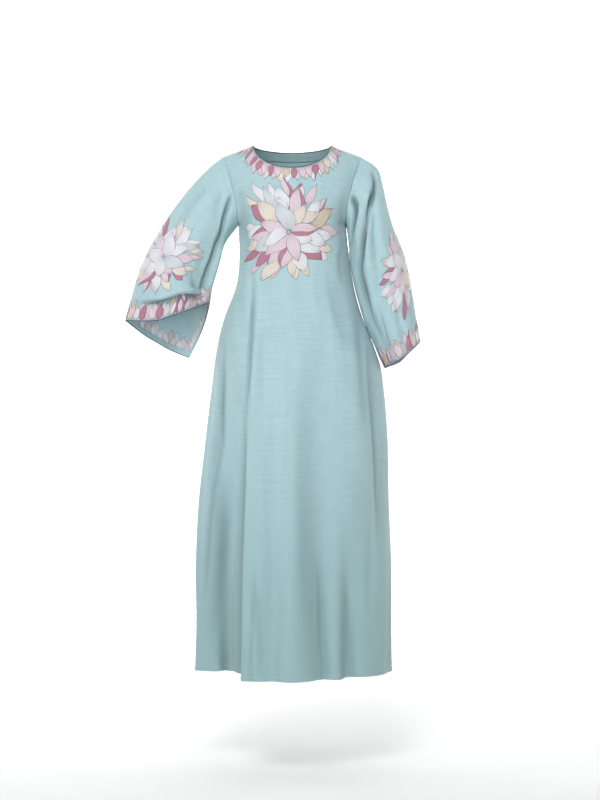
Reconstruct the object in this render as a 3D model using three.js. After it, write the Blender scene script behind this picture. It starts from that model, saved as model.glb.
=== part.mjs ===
// A long kaftan with wide sleeves, worn: one arm hangs, the other is bent with its hand at the hip.
// Millimetres, +Z up, the front faces -Y and +X is the wearer's left. The origin lies between the two
// neck points, where the shoulders carry the garment.
import * as THREE from "three";

// Driving sizes
const WALL = 1.5; // cloth, as a rigid wall
const SEAM_GAP = 0.3; // between two pieces at a seam
const HEM_Z = -1316;
const UNDERARM_Z = -203;
const SHOULDER_TIP = { x: 174, z: -33 };
const NECK_POINT = { x: 97, z: -4 };
const SHOULDER_Y = 4; // plane of the shoulder seams
const NECK_LOW_Z = { front: -70, back: -17 };
const SQUARENESS = 2.3; // power of the body's oval sections: 2 is an ellipse

// Grid of a body panel. Its columns run from the wearer's right side seam to the left one.
const COLUMNS = 28;
const SIDE_COLUMNS = 6; // from the right side seam to the foot of the deep fold
const RISER_COLUMNS = 4; // up the inner face of the deep fold
const SHOULDER_COLUMNS = 5; // along each shoulder seam
const SKIRT_ROWS = 16; // from hem to underarm
const YOKE_ROWS = 14; // from underarm to the shoulder and neck edge
const SLEEVE_STEPS = 2; // rings from one station of a sleeve to the next

// Half sections of the body at each height: side seams in X, front and back in Y.
const BODY = [
  { z: -1316, right: -242, left: 249, front: -190, back: 172 },
  { z: -1187, right: -239, left: 248, front: -184, back: 166 },
  { z: -1057, right: -241, left: 248, front: -178, back: 159 },
  { z: -890, right: -233, left: 242, front: -169, back: 149 },
  { z: -764, right: -219, left: 240, front: -162, back: 140 },
  { z: -676, right: -209, left: 235, front: -156, back: 133 },
  { z: -605, right: -200, left: 228, front: -150, back: 126 },
  { z: -553, right: -194, left: 220, front: -145, back: 119 },
  { z: -482, right: -182, left: 195, front: -137, back: 109 },
  { z: -427, right: -166, left: 173, front: -131, back: 102 },
  { z: -352, right: -138, left: 153, front: -124, back: 98 },
  { z: -281, right: -131, left: 142, front: -121, back: 100 },
  { z: -203, right: -134, left: 134, front: -118, back: 103 },
];

// The deep fold that falls from the hip: its front edge, and the foot that it folds back to.
const DEEP_FOLD = [
  { z: -1316, edgeX: -126, footX: -148, footY: -14 },
  { z: -1190, edgeX: -125, footX: -150, footY: -24 },
  { z: -1032, edgeX: -122, footX: -142, footY: -40 },
  { z: -880, edgeX: -116, footX: -134, footY: -56 },
  { z: -780, edgeX: -112, footX: -129, footY: -68 },
  { z: -675, edgeX: -107, footX: -123, footY: -82 },
  { z: -587, edgeX: -102, footX: -116, footY: -95 },
  { z: -500, edgeX: -97, footX: -108, footY: -107 },
  { z: -400, edgeX: -90, footX: -98, footY: -112 },
];
const DEEP_FOLD_START_Z = -380;
const DEEP_FOLD_FULL_Z = -700;
const DEEP_FOLD_BOW = 10; // how far the cloth behind it bows forwards
const RISER_ROUNDNESS = 1.3; // power by which the cloth leaves the foot flat, then climbs to the edge
const SEAM_REACH = 0.08; // share of a panel over which its folds die out towards a side seam

// Soft folds. Each runs from x at its start to x at its end, is fullest at "full", and stands out of
// the section by depth (in, if negative) over about twice its width.
const FRONT_FOLDS = [
  { startX: -66, endX: -88, start: -420, full: -900, end: -1700, depth: 9, width: 30 },
  { startX: -30, endX: -48, start: -560, full: -1250, end: -1900, depth: -12, width: 26 },
  { startX: -8, endX: -2, start: -600, full: -1200, end: -1900, depth: 9, width: 30 },
  { startX: 62, endX: 80, start: -700, full: -1316, end: -1900, depth: -30, width: 34 },
  { startX: 120, endX: 122, start: -900, full: -1316, end: -1900, depth: 8, width: 24 },
  { startX: 150, endX: 160, start: -860, full: -1316, end: -1900, depth: -24, width: 30 },
  { startX: 150, endX: 172, start: -640, full: -1316, end: -1900, depth: -30, width: 74 },
  { startX: 196, endX: 212, start: -560, full: -900, end: -1500, depth: -7, width: 14 },
  { startX: -160, endX: -226, start: -440, full: -760, end: -1180, depth: 11, width: 17 },
];
const BACK_FOLDS = [
  { startX: -150, endX: -176, start: -560, full: -1250, end: -1900, depth: -22, width: 30 },
  { startX: -96, endX: -112, start: -480, full: -1200, end: -1900, depth: 13, width: 28 },
  { startX: -30, endX: -42, start: -400, full: -1150, end: -1900, depth: -26, width: 32 },
  { startX: 34, endX: 40, start: -520, full: -1250, end: -1900, depth: 14, width: 34 },
  { startX: 92, endX: 118, start: -430, full: -1200, end: -1900, depth: -24, width: 30 },
  { startX: 170, endX: 192, start: -620, full: -1250, end: -1900, depth: 11, width: 24 },
];

// Sleeves. A station is a ring: its outer and inner edge seen from the front, its half depths to the
// front and back, and how far its front and back hang below the line of its edges, lowest at a share
// of the ring's width from its middle (-1 is the inner edge, 1 the outer one).
const RIGHT_SLEEVE = {
  side: -1,
  frontLowAt: 0.2,
  backLowAt: -0.53,
  stations: [
    { outX: -174, outZ: -33, inX: -134, inZ: -203, front: 60, back: 56, frontDrop: 0, backDrop: 0 },
    { outX: -213, outZ: -65, inX: -146, inZ: -219, front: 64, back: 60, frontDrop: 0, backDrop: 4 },
    { outX: -262, outZ: -118, inX: -160, inZ: -237, front: 66, back: 62, frontDrop: 0, backDrop: 8 },
    { outX: -309, outZ: -182, inX: -171, inZ: -258, front: 68, back: 64, frontDrop: 2, backDrop: 14 },
    { outX: -350, outZ: -250, inX: -180, inZ: -290, front: 70, back: 66, frontDrop: 6, backDrop: 28 },
    { outX: -380, outZ: -313, inX: -190, inZ: -324, front: 74, back: 66, frontDrop: 12, backDrop: 52 },
    { outX: -398, outZ: -372, inX: -199, inZ: -356, front: 80, back: 64, frontDrop: 14, backDrop: 84 },
    { outX: -406, outZ: -402, inX: -202, inZ: -374, front: 62, back: 62, frontDrop: 12, backDrop: 102 },
    { outX: -416, outZ: -440, inX: -206, inZ: -396, front: 58, back: 60, frontDrop: 20, backDrop: 124 },
  ],
  folds: [
    { startAt: 0.1, endAt: 0.17, start: 0.12, full: 0.5, end: 0.95, depth: -9, width: 0.035 },
    { startAt: 0.3, endAt: 0.4, start: 0.25, full: 0.7, end: 1.2, depth: -13, width: 0.035 },
    { startAt: 0.36, endAt: 0.31, start: 0.5, full: 0.9, end: 1.4, depth: 8, width: 0.03 },
    { startAt: 0.62, endAt: 0.66, start: 0.2, full: 0.8, end: 1.5, depth: -14, width: 0.04 },
    { startAt: 0.8, endAt: 0.78, start: 0.35, full: 0.9, end: 1.6, depth: -11, width: 0.035 },
  ],
};
const LEFT_SLEEVE = {
  side: 1,
  frontLowAt: 0,
  backLowAt: 0,
  stations: [
    { outX: 174, outZ: -33, inX: 134, inZ: -203, front: 60, back: 56, frontDrop: 0, backDrop: 0 },
    { outX: 213, outZ: -60, inX: 139, inZ: -222, front: 68, back: 64, frontDrop: 2, backDrop: 2 },
    { outX: 226, outZ: -98, inX: 143, inZ: -252, front: 74, back: 70, frontDrop: 4, backDrop: 4 },
    { outX: 237, outZ: -150, inX: 149, inZ: -293, front: 79, back: 75, frontDrop: 5, backDrop: 5 },
    { outX: 252, outZ: -206, inX: 157, inZ: -340, front: 84, back: 80, frontDrop: 6, backDrop: 6 },
    { outX: 276, outZ: -268, inX: 168, inZ: -388, front: 89, back: 86, frontDrop: 7, backDrop: 7 },
    { outX: 294, outZ: -338, inX: 184, inZ: -440, front: 95, back: 91, frontDrop: 8, backDrop: 8 },
    { outX: 307, outZ: -416, inX: 206, inZ: -496, front: 101, back: 96, frontDrop: 8, backDrop: 10 },
    { outX: 319, outZ: -492, inX: 232, inZ: -558, front: 107, back: 101, frontDrop: 8, backDrop: 16 },
  ],
  folds: [
    { startAt: 0.11, endAt: 0.37, start: 0.08, full: 0.4, end: 1.3, depth: -17, width: 0.035 },
    { startAt: 0.2, endAt: 0.44, start: 0.1, full: 0.45, end: 1.3, depth: 8, width: 0.03 },
    { startAt: 0.17, endAt: 0.22, start: 0.4, full: 0.85, end: 1.6, depth: -10, width: 0.035 },
    { startAt: 0.6, endAt: 0.64, start: 0.2, full: 0.8, end: 1.6, depth: -15, width: 0.04 },
    { startAt: 0.84, endAt: 0.8, start: 0.15, full: 0.8, end: 1.6, depth: -12, width: 0.035 },
  ],
};
const YOKE_HALF_AT_TOP = 200; // half width of the body's oval if it went on up to the neck points
const SHOULDER_ROUNDNESS = 1.7;
const ARMHOLE_CURVE = 1.5; // how far the armhole leans out at the shoulder, having started upright
const ARMHOLE_WIDTH = 0.2; // share of a panel over which its columns follow the armhole
const MOST_LEAN = 0.8; // radians from upright at which a column may meet the neckline
const HANG_ROUNDING = 0.3; // how much the hanging edge of a sleeve flattens at its lowest place
const ARMHOLE_REACH = 0.4; // share of a sleeve over which it keeps some of the armhole's own curve
// Piping: a round cord covered in cloth, which runs along an edge just beyond it.
const PIPING = { radius: 1.7, gap: 0.35, sides: 6 };

const cloth = (color) => new THREE.MeshStandardMaterial({ color, roughness: 0.85, metalness: 0 });
const aquaCloth = () => cloth(0xa9cbd2);
const slatePiping = () => cloth(0x56656f);

const lerp = THREE.MathUtils.lerp;
const smooth = (from, to, value) => {
  const share = Math.min(Math.max((value - from) / (to - from), 0), 1);
  return share * share * (3 - 2 * share);
};
const signedPower = (value, power) => Math.sign(value) * Math.abs(value) ** power;
const point = (x, y, z) => new THREE.Vector3(x, y, z);

// A smooth curve through one named column of a table whose rows are in order of another column.
function read(table, by, at, column) {
  const last = table.length - 1;
  const up = table[last][by] > table[0][by] ? 1 : -1;
  let i = 0;
  while (i < last - 1 && up * (at - table[i + 1][by]) > 0) i += 1;
  const before = table[Math.max(i - 1, 0)];
  const [here, next] = [table[i], table[i + 1]];
  const after = table[Math.min(i + 2, last)];
  const span = next[by] - here[by];
  const share = Math.min(Math.max((at - here[by]) / span, 0), 1);
  const slopeHere = ((next[column] - before[column]) / (next[by] - before[by])) * span;
  const slopeNext = ((after[column] - here[column]) / (after[by] - here[by])) * span;
  return hermite(share, here[column], next[column], slopeHere, slopeNext);
}

function hermite(share, start, end, slopeStart, slopeEnd) {
  const square = share * share;
  const cube = square * share;
  return (
    (2 * cube - 3 * square + 1) * start +
    (3 * square - 2 * cube) * end +
    (cube - 2 * square + share) * slopeStart +
    (cube - square) * slopeEnd
  );
}

// How much of a fold stands at a height or share, between its start, its fullest place and its end.
function foldGrowth(fold, at) {
  return at > fold.full === fold.start > fold.full
    ? smooth(fold.start, fold.full, at)
    : 1 - smooth(fold.full, fold.end, at);
}

// ---- the body's two panels ----

function bodyOval(side, across, z) {
  const right = read(BODY, "z", z, "right");
  const left = read(BODY, "z", z, "left");
  const depth = read(BODY, "z", z, side);
  const angle = Math.PI * across;
  const half = (left - right) / 2;
  return point(
    (left + right) / 2 - half * signedPower(Math.cos(angle), 2 / SQUARENESS),
    depth * Math.max(Math.sin(angle), 0) ** (2 / SQUARENESS),
    z,
  );
}

// The share across a panel at which its oval reaches a given x.
function acrossAt(x, z) {
  const right = read(BODY, "z", z, "right");
  const left = read(BODY, "z", z, "left");
  const share = ((left + right) / 2 - x) / ((left - right) / 2);
  return Math.acos(signedPower(share, SQUARENESS / 2)) / Math.PI;
}

function softFolds(place, folds, side) {
  const size = (column) => read(BODY, "z", place.z, column);
  const middle = (size("left") + size("right")) / 2;
  const half = (size("left") - size("right")) / 2;
  const out = point((place.x - middle) / half ** 2, place.y / size(side) ** 2, 0).normalize();
  let shift = 0;
  for (const fold of folds) {
    const along = (fold.start - place.z) / (fold.start - Math.max(fold.end, HEM_Z));
    const away = (place.x - lerp(fold.startX, fold.endX, along)) / fold.width;
    shift += fold.depth * foldGrowth(fold, place.z) * Math.exp(-away * away);
  }
  return place.clone().addScaledVector(out, shift);
}

// A point of a panel below the underarm, at a share of its columns and a height.
function skirtPoint(side, share, z) {
  if (side === "back") {
    const place = bodyOval(side, share, z);
    const inside = smooth(0, SEAM_REACH, Math.min(share, 1 - share));
    return place.lerp(softFolds(place, BACK_FOLDS, side), inside);
  }
  const footShare = SIDE_COLUMNS / COLUMNS;
  const edgeShare = (SIDE_COLUMNS + RISER_COLUMNS) / COLUMNS;
  const settle = smooth(UNDERARM_Z, DEEP_FOLD_START_Z, z);
  const fold = (column) => read(DEEP_FOLD, "z", Math.min(z, DEEP_FOLD[DEEP_FOLD.length - 1].z), column);
  const footAcross = lerp(footShare, acrossAt(fold("footX"), z), settle);
  const edgeAcross = lerp(edgeShare, acrossAt(fold("edgeX"), z), settle);
  const depth = smooth(DEEP_FOLD_START_Z, DEEP_FOLD_FULL_Z, z);
  const foot = point(fold("footX"), fold("footY"), z);
  if (share <= footShare) {
    const along = share / footShare;
    const onOval = bodyOval(side, along * footAcross, z);
    const behind = bodyOval(side, 0, z).lerp(foot, along);
    behind.y -= DEEP_FOLD_BOW * Math.sin(Math.PI * along);
    const place = onOval.lerp(behind, depth);
    const inside = smooth(0, 0.3, Math.min(along, 1 - along));
    return place.lerp(softFolds(place, FRONT_FOLDS, side), inside);
  }
  if (share < edgeShare) {
    const along = (share - footShare) / (edgeShare - footShare);
    const onOval = bodyOval(side, lerp(footAcross, edgeAcross, along), z);
    const edge = softFolds(bodyOval(side, edgeAcross, z), FRONT_FOLDS, side);
    const riser = point(
      lerp(foot.x, edge.x, 1 - (1 - along) ** 2),
      lerp(foot.y, edge.y, along ** RISER_ROUNDNESS),
      z,
    );
    return onOval.lerp(riser, depth);
  }
  const along = (share - edgeShare) / (1 - edgeShare);
  const place = bodyOval(side, lerp(edgeAcross, 1, along), z);
  return place.lerp(softFolds(place, FRONT_FOLDS, side), smooth(0, SEAM_REACH, 1 - along));
}

// The top edge of a panel: shoulder seam, neckline, shoulder seam.
function topEdge(side, share) {
  const shoulderShare = SHOULDER_COLUMNS / COLUMNS;
  const fromSide = Math.min(share, 1 - share);
  const sign = share < 0.5 ? -1 : 1;
  if (fromSide < shoulderShare) {
    const along = fromSide / shoulderShare;
    return point(
      sign * lerp(SHOULDER_TIP.x, NECK_POINT.x, along),
      SHOULDER_Y,
      lerp(SHOULDER_TIP.z, NECK_POINT.z, along),
    );
  }
  const angle = (Math.PI * (share - shoulderShare)) / (1 - 2 * shoulderShare);
  const x = -NECK_POINT.x * Math.cos(angle);
  const z = lerp(NECK_POINT.z, NECK_LOW_Z[side], Math.sin(angle));
  return point(x, SHOULDER_Y + yokeDepth(side, x, z), z);
}

// How far the cloth stands off the plane of the shoulder seams above the underarm: oval across, and
// rounding over to nothing at the line of the shoulders, which rises on over the neck opening.
function yokeDepth(side, x, z) {
  const up = (z - UNDERARM_Z) / (NECK_POINT.z - UNDERARM_Z);
  const half = lerp(read(BODY, "z", UNDERARM_Z, "left"), YOKE_HALF_AT_TOP, up);
  const slope = (SHOULDER_TIP.z - NECK_POINT.z) / (SHOULDER_TIP.x - NECK_POINT.x);
  const ridgeZ = NECK_POINT.z + slope * (Math.abs(x) - NECK_POINT.x);
  const across = Math.min(Math.abs(x) / half, 1) ** SQUARENESS;
  const over = Math.min((z - UNDERARM_Z) / (ridgeZ - UNDERARM_Z), 1) ** SHOULDER_ROUNDNESS;
  const depth = read(BODY, "z", UNDERARM_Z, side);
  return depth * (1 - across) ** (1 / SQUARENESS) * (1 - over) ** (1 / SHOULDER_ROUNDNESS);
}

// Which way a column reaches the top edge, seen from the front: upright at the sides and the middle,
// square to the neckline along it.
function arrival(side, share) {
  const shoulderShare = SHOULDER_COLUMNS / COLUMNS;
  const fromSide = Math.min(share, 1 - share);
  const towardsMiddle = share < 0.5 ? 1 : -1;
  const alongNeck = Math.max(fromSide - shoulderShare, 0) / (1 - 2 * shoulderShare);
  const angle = Math.PI * alongNeck;
  const neckDrop = NECK_POINT.z - NECK_LOW_Z[side];
  const square = Math.atan2(neckDrop * Math.cos(angle), NECK_POINT.x * Math.sin(angle));
  const lean = Math.min(square, MOST_LEAN) * smooth(0, shoulderShare, fromSide);
  return { x: towardsMiddle * Math.sin(lean), z: Math.cos(lean) };
}

// A point of a panel above the underarm, at a share of its columns and of the way up.
function yokePoint(side, share, up) {
  const start = skirtPoint(side, share, UNDERARM_Z);
  const end = topEdge(side, share);
  const rise = end.z - start.z;
  const reach = arrival(side, share);
  const armhole = 1 - smooth(0, ARMHOLE_WIDTH, Math.min(share, 1 - share));
  const leanOut = ARMHOLE_CURVE * (end.x - start.x);
  const x = hermite(up, start.x, end.x, 0, lerp(reach.x * rise, leanOut, armhole));
  const z = hermite(up, start.z, end.z, rise, reach.z * rise);
  return point(x, lerp(0, SHOULDER_Y, up) + yokeDepth(side, x, z), z);
}

function panelGrid(side) {
  const grid = [];
  for (let column = 0; column <= COLUMNS; column += 1) {
    const line = [];
    for (let row = 0; row < SKIRT_ROWS; row += 1) {
      line.push(skirtPoint(side, column / COLUMNS, lerp(HEM_Z, UNDERARM_Z, row / SKIRT_ROWS)));
    }
    for (let row = 0; row <= YOKE_ROWS; row += 1) {
      line.push(yokePoint(side, column / COLUMNS, row / YOKE_ROWS));
    }
    grid.push(line);
  }
  return grid;
}

// ---- sleeves ----

// From 0 at both edges of a ring to 1 where it hangs lowest, seen from the front.
function hang(across, lowAt) {
  const fromInner = (1 + across) / (1 + lowAt);
  const fromOuter = (1 - across) / (1 - lowAt);
  const nearest = Math.min(fromInner, fromOuter);
  return nearest * (1 - HANG_ROUNDING * nearest) / (1 - HANG_ROUNDING);
}

// A ring starts at the top of the sleeve and runs over its front, under it and up its back.
function ringPoint(sleeve, around, along) {
  const size = (column) => read(sleeve.rows, "along", along, column);
  const turn = 2 * Math.PI * around;
  const toFront = Math.sin(turn);
  const halfX = (size("outX") - size("inX")) / 2;
  const halfZ = (size("outZ") - size("inZ")) / 2;
  const depth = toFront > 0 ? size("front") : size("back");
  const drop = toFront > 0 ? size("frontDrop") : size("backDrop");
  const lowAt = toFront > 0 ? sleeve.frontLowAt : sleeve.backLowAt;
  let wide = 1;
  for (const fold of sleeve.folds) {
    const off = (around - lerp(fold.startAt, fold.endAt, along)) / fold.width;
    wide += (fold.depth * foldGrowth(fold, along) * Math.exp(-off * off)) / Math.hypot(halfX, halfZ, depth);
  }
  return point(
    (size("outX") + size("inX")) / 2 + halfX * Math.cos(turn) * wide,
    -depth * toFront * wide,
    (size("outZ") + size("inZ")) / 2 + halfZ * Math.cos(turn) * wide - drop * hang(Math.cos(turn), lowAt),
  );
}

function armholePoint(sleeve, around) {
  const share = sleeve.side < 0 ? 0 : 1;
  return around <= 0.5
    ? yokePoint("front", share, 1 - 2 * around)
    : yokePoint("back", share, 2 * around - 1);
}

function sleevePoint(sleeve, around, along) {
  const keep = 1 - smooth(0, ARMHOLE_REACH, along);
  const place = ringPoint(sleeve, around, along);
  const own = armholePoint(sleeve, around).sub(ringPoint(sleeve, around, 0));
  return place.addScaledVector(own, keep);
}

function sleeveGrid(sleeve) {
  const last = sleeve.stations.length - 1;
  sleeve.rows = sleeve.stations.map((station, i) => ({ ...station, along: i / last }));
  const grid = [];
  for (let k = 0; k < 2 * YOKE_ROWS; k += 1) {
    const line = [];
    for (let ring = 0; ring <= last * SLEEVE_STEPS; ring += 1) {
      line.push(sleevePoint(sleeve, k / (2 * YOKE_ROWS), ring / (last * SLEEVE_STEPS)));
    }
    grid.push(line);
  }
  return grid;
}

// ---- from a grid of points to a wall ----

// Unit normals of a grid, from the cells round each point. The grid may close round its columns.
function gridNormals(grid, closed, flip) {
  const columns = grid.length;
  const rows = grid[0].length;
  const at = (i) => (closed ? (i + columns) % columns : Math.min(Math.max(i, 0), columns - 1));
  return grid.map((line, i) =>
    line.map((_, j) => {
      const across = grid[at(i + 1)][j].clone().sub(grid[at(i - 1)][j]);
      const up = grid[i][Math.min(j + 1, rows - 1)].clone().sub(grid[i][Math.max(j - 1, 0)]);
      return across.cross(up).multiplyScalar(flip).normalize();
    }),
  );
}

// The wall between two grids of the same size: outer face, inner face and rims.
function wallGeometry(outer, inner, closed) {
  const columns = outer.length;
  const rows = outer[0].length;
  const positions = [];
  for (const grid of [outer, inner]) {
    for (const line of grid) for (const p of line) positions.push(p.x, p.y, p.z);
  }
  const id = (layer, i, j) => (layer * columns + (i % columns)) * rows + j;
  const index = [];
  const quad = (a, b, c, d) => index.push(a, b, c, a, c, d);
  const cells = closed ? columns : columns - 1;
  for (let i = 0; i < cells; i += 1) {
    for (let j = 0; j < rows - 1; j += 1) {
      quad(id(0, i, j), id(0, i + 1, j), id(0, i + 1, j + 1), id(0, i, j + 1));
      quad(id(1, i, j), id(1, i, j + 1), id(1, i + 1, j + 1), id(1, i + 1, j));
    }
    quad(id(0, i, 0), id(1, i, 0), id(1, i + 1, 0), id(0, i + 1, 0));
    quad(id(0, i + 1, rows - 1), id(1, i + 1, rows - 1), id(1, i, rows - 1), id(0, i, rows - 1));
  }
  if (!closed) {
    for (let j = 0; j < rows - 1; j += 1) {
      quad(id(0, 0, j + 1), id(1, 0, j + 1), id(1, 0, j), id(0, 0, j));
      quad(id(0, cells, j), id(1, cells, j), id(1, cells, j + 1), id(0, cells, j + 1));
    }
  }
  return facingOut(positions, index);
}

function facingOut(positions, index) {
  const geometry = new THREE.BufferGeometry();
  geometry.setAttribute("position", new THREE.Float32BufferAttribute(positions, 3));
  if (signedVolume(positions, index) < 0) {
    for (let i = 0; i < index.length; i += 3) {
      [index[i + 1], index[i + 2]] = [index[i + 2], index[i + 1]];
    }
  }
  geometry.setIndex(index);
  geometry.computeVertexNormals();
  return geometry;
}

function signedVolume(positions, index) {
  const at = (i) => point(positions[3 * i], positions[3 * i + 1], positions[3 * i + 2]);
  let volume = 0;
  for (let i = 0; i < index.length; i += 3) {
    volume += at(index[i]).dot(at(index[i + 1]).cross(at(index[i + 2]))) / 6;
  }
  return volume;
}

const moved = (grid, normals, distance) =>
  grid.map((line, i) => line.map((p, j) => p.clone().addScaledVector(normals[i][j], distance)));

function wallMesh(name, piece, material) {
  const outer = moved(piece.grid, piece.normals, WALL / 2);
  const inner = moved(piece.grid, piece.normals, -WALL / 2);
  const mesh = new THREE.Mesh(wallGeometry(outer, inner, piece.closed), material);
  mesh.name = name;
  return mesh;
}

// Two or more pieces share one normal where they are sewn together.
function shareNormal(...places) {
  const sum = point(0, 0, 0);
  for (const [piece, i, j] of places) sum.add(piece.normals[i][j]);
  sum.normalize();
  for (const [piece, i, j] of places) piece.normals[i][j].copy(sum);
}

function pullBack(piece, i, j, towardsI, towardsJ) {
  const here = piece.grid[i][j];
  const step = piece.before[towardsI][towardsJ].clone().sub(piece.before[i][j]);
  here.addScaledVector(step.normalize(), SEAM_GAP / 2);
}

const front = { grid: panelGrid("front"), closed: false };
const back = { grid: panelGrid("back"), closed: false };
const rightSleeve = { grid: sleeveGrid(RIGHT_SLEEVE), closed: true };
const leftSleeve = { grid: sleeveGrid(LEFT_SLEEVE), closed: true };
front.normals = gridNormals(front.grid, false, 1);
back.normals = gridNormals(back.grid, false, -1);
rightSleeve.normals = gridNormals(rightSleeve.grid, true, -1);
leftSleeve.normals = gridNormals(leftSleeve.grid, true, 1);

const TOP_ROW = SKIRT_ROWS + YOKE_ROWS;
const sleeveAtSeam = [
  [rightSleeve, 0],
  [leftSleeve, COLUMNS],
];
for (const [sleeve, column] of sleeveAtSeam) {
  for (let row = 0; row < SKIRT_ROWS; row += 1) shareNormal([front, column, row], [back, column, row]);
  for (let k = 1; k < YOKE_ROWS; k += 1) {
    shareNormal([front, column, TOP_ROW - k], [sleeve, k, 0]);
    shareNormal([back, column, TOP_ROW - k], [sleeve, 2 * YOKE_ROWS - k, 0]);
  }
  shareNormal([front, column, SKIRT_ROWS], [back, column, SKIRT_ROWS], [sleeve, YOKE_ROWS, 0]);
  shareNormal([front, column, TOP_ROW], [back, column, TOP_ROW], [sleeve, 0, 0]);
  const inwards = column === 0 ? 1 : -1;
  for (let step = 1; step <= SHOULDER_COLUMNS; step += 1) {
    shareNormal([front, column + inwards * step, TOP_ROW], [back, column + inwards * step, TOP_ROW]);
  }
}

for (const piece of [front, back, rightSleeve, leftSleeve]) {
  piece.before = piece.grid.map((line) => line.map((p) => p.clone()));
}
for (const panel of [front, back]) {
  for (let row = 0; row <= TOP_ROW; row += 1) {
    pullBack(panel, 0, row, 1, row);
    pullBack(panel, COLUMNS, row, COLUMNS - 1, row);
  }
  for (let step = 0; step <= SHOULDER_COLUMNS; step += 1) {
    pullBack(panel, step, TOP_ROW, step, TOP_ROW - 1);
    pullBack(panel, COLUMNS - step, TOP_ROW, COLUMNS - step, TOP_ROW - 1);
  }
}
for (const sleeve of [rightSleeve, leftSleeve]) {
  for (let k = 0; k < 2 * YOKE_ROWS; k += 1) pullBack(sleeve, k, 0, k, 1);
}

// Half of a sleeve, in front of or behind the lines over and under the arm.
function sleeveHalf(sleeve, first) {
  const lines = Array.from({ length: YOKE_ROWS + 1 }, (_, k) => (first + k) % (2 * YOKE_ROWS));
  const places = () => lines.map((k) => sleeve.grid[k].map((p) => p.clone()));
  const normals = lines.map((k) => sleeve.normals[k]);
  const half = { grid: places(), before: places(), normals, closed: false };
  for (let row = 0; row < half.grid[0].length; row += 1) {
    pullBack(half, 0, row, 1, row);
    pullBack(half, YOKE_ROWS, row, YOKE_ROWS - 1, row);
  }
  return half;
}

// ---- piping ----

// A closed round cord along an edge, on the far side of the edge from the cloth.
function pipingMesh(name, edge) {
  const rings = edge.map((place, i) => {
    const next = edge[(i + 1) % edge.length].at;
    const before = edge[(i + edge.length - 1) % edge.length].at;
    const past = next.clone().sub(before).normalize().cross(place.normal).normalize();
    if (past.dot(place.below.clone().sub(place.at)) > 0) past.negate();
    const middle = place.at.clone().addScaledVector(past, PIPING.gap + PIPING.radius);
    return Array.from({ length: PIPING.sides }, (_, k) => {
      const turn = (2 * Math.PI * k) / PIPING.sides;
      return middle
        .clone()
        .addScaledVector(past, PIPING.radius * Math.cos(turn))
        .addScaledVector(place.normal, PIPING.radius * Math.sin(turn));
    });
  });
  const mesh = new THREE.Mesh(ringTubeGeometry(rings), slatePiping());
  mesh.name = name;
  return mesh;
}

// A tube closed round both ways, from rings of the same number of points.
function ringTubeGeometry(rings) {
  const positions = rings.flat().flatMap((p) => [p.x, p.y, p.z]);
  const id = (ring, k) => (ring % rings.length) * PIPING.sides + (k % PIPING.sides);
  const index = [];
  for (let ring = 0; ring < rings.length; ring += 1) {
    for (let k = 0; k < PIPING.sides; k += 1) {
      index.push(id(ring, k), id(ring + 1, k), id(ring + 1, k + 1));
      index.push(id(ring, k), id(ring + 1, k + 1), id(ring, k + 1));
    }
  }
  return facingOut(positions, index);
}

// One place of a piece's edge, with the point next to it inside the cloth.
const edgePlace = (piece, i, j) => ({
  at: piece.before[i][j],
  normal: piece.normals[i][j],
  below: piece.before[i][j - 1],
});

function neckEdge() {
  const edge = [];
  const first = SHOULDER_COLUMNS;
  const last = COLUMNS - SHOULDER_COLUMNS;
  for (let column = first; column < last; column += 1) edge.push(edgePlace(front, column, TOP_ROW));
  for (let column = last; column > first; column -= 1) edge.push(edgePlace(back, column, TOP_ROW));
  return edge;
}

function cuffEdge(sleeve) {
  return sleeve.grid.map((line, k) => edgePlace(sleeve, k, line.length - 1));
}

const kaftan = new THREE.Group();
kaftan.add(wallMesh("front_panel", front, aquaCloth()));
kaftan.add(wallMesh("back_panel", back, aquaCloth()));
kaftan.add(wallMesh("sleeve_right_front", sleeveHalf(rightSleeve, 0), aquaCloth()));
kaftan.add(wallMesh("sleeve_right_back", sleeveHalf(rightSleeve, YOKE_ROWS), aquaCloth()));
kaftan.add(wallMesh("sleeve_left_front", sleeveHalf(leftSleeve, 0), aquaCloth()));
kaftan.add(wallMesh("sleeve_left_back", sleeveHalf(leftSleeve, YOKE_ROWS), aquaCloth()));
kaftan.add(pipingMesh("neck_piping", neckEdge()));
kaftan.add(pipingMesh("cuff_piping_right", cuffEdge(rightSleeve)));
kaftan.add(pipingMesh("cuff_piping_left", cuffEdge(leftSleeve)));

export default kaftan;
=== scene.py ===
"""A worn kaftan: thin woven cloth on its packed form, with folds, piping, hems and petal embroidery."""

import math
from collections import namedtuple

import bpy
import numpy as np
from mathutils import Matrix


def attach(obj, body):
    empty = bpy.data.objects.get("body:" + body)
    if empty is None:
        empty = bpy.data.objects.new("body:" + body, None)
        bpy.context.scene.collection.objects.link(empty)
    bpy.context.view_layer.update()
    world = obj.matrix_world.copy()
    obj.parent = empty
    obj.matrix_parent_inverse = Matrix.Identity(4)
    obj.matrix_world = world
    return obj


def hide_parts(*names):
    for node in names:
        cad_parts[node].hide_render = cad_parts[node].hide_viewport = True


bl_info = {
    "name": "Embroidered Kaftan",
    "version": (1, 0, 0),
    "blender": (4, 5, 0),
    "location": "3D View > Sidebar > Kaftan",
    "description": "Builds a worn kaftan with bell sleeves, piping, hems and petal embroidery",
    "category": "Object",
}

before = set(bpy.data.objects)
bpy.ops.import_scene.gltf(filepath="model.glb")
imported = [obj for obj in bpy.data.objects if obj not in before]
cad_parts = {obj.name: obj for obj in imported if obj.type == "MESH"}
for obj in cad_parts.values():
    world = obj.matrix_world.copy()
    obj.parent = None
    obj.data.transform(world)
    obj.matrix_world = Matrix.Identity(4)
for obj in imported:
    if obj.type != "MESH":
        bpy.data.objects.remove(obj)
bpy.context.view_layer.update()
BODY_NAME = "root"

# ---- sizes of the garment, in metres ----

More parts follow.
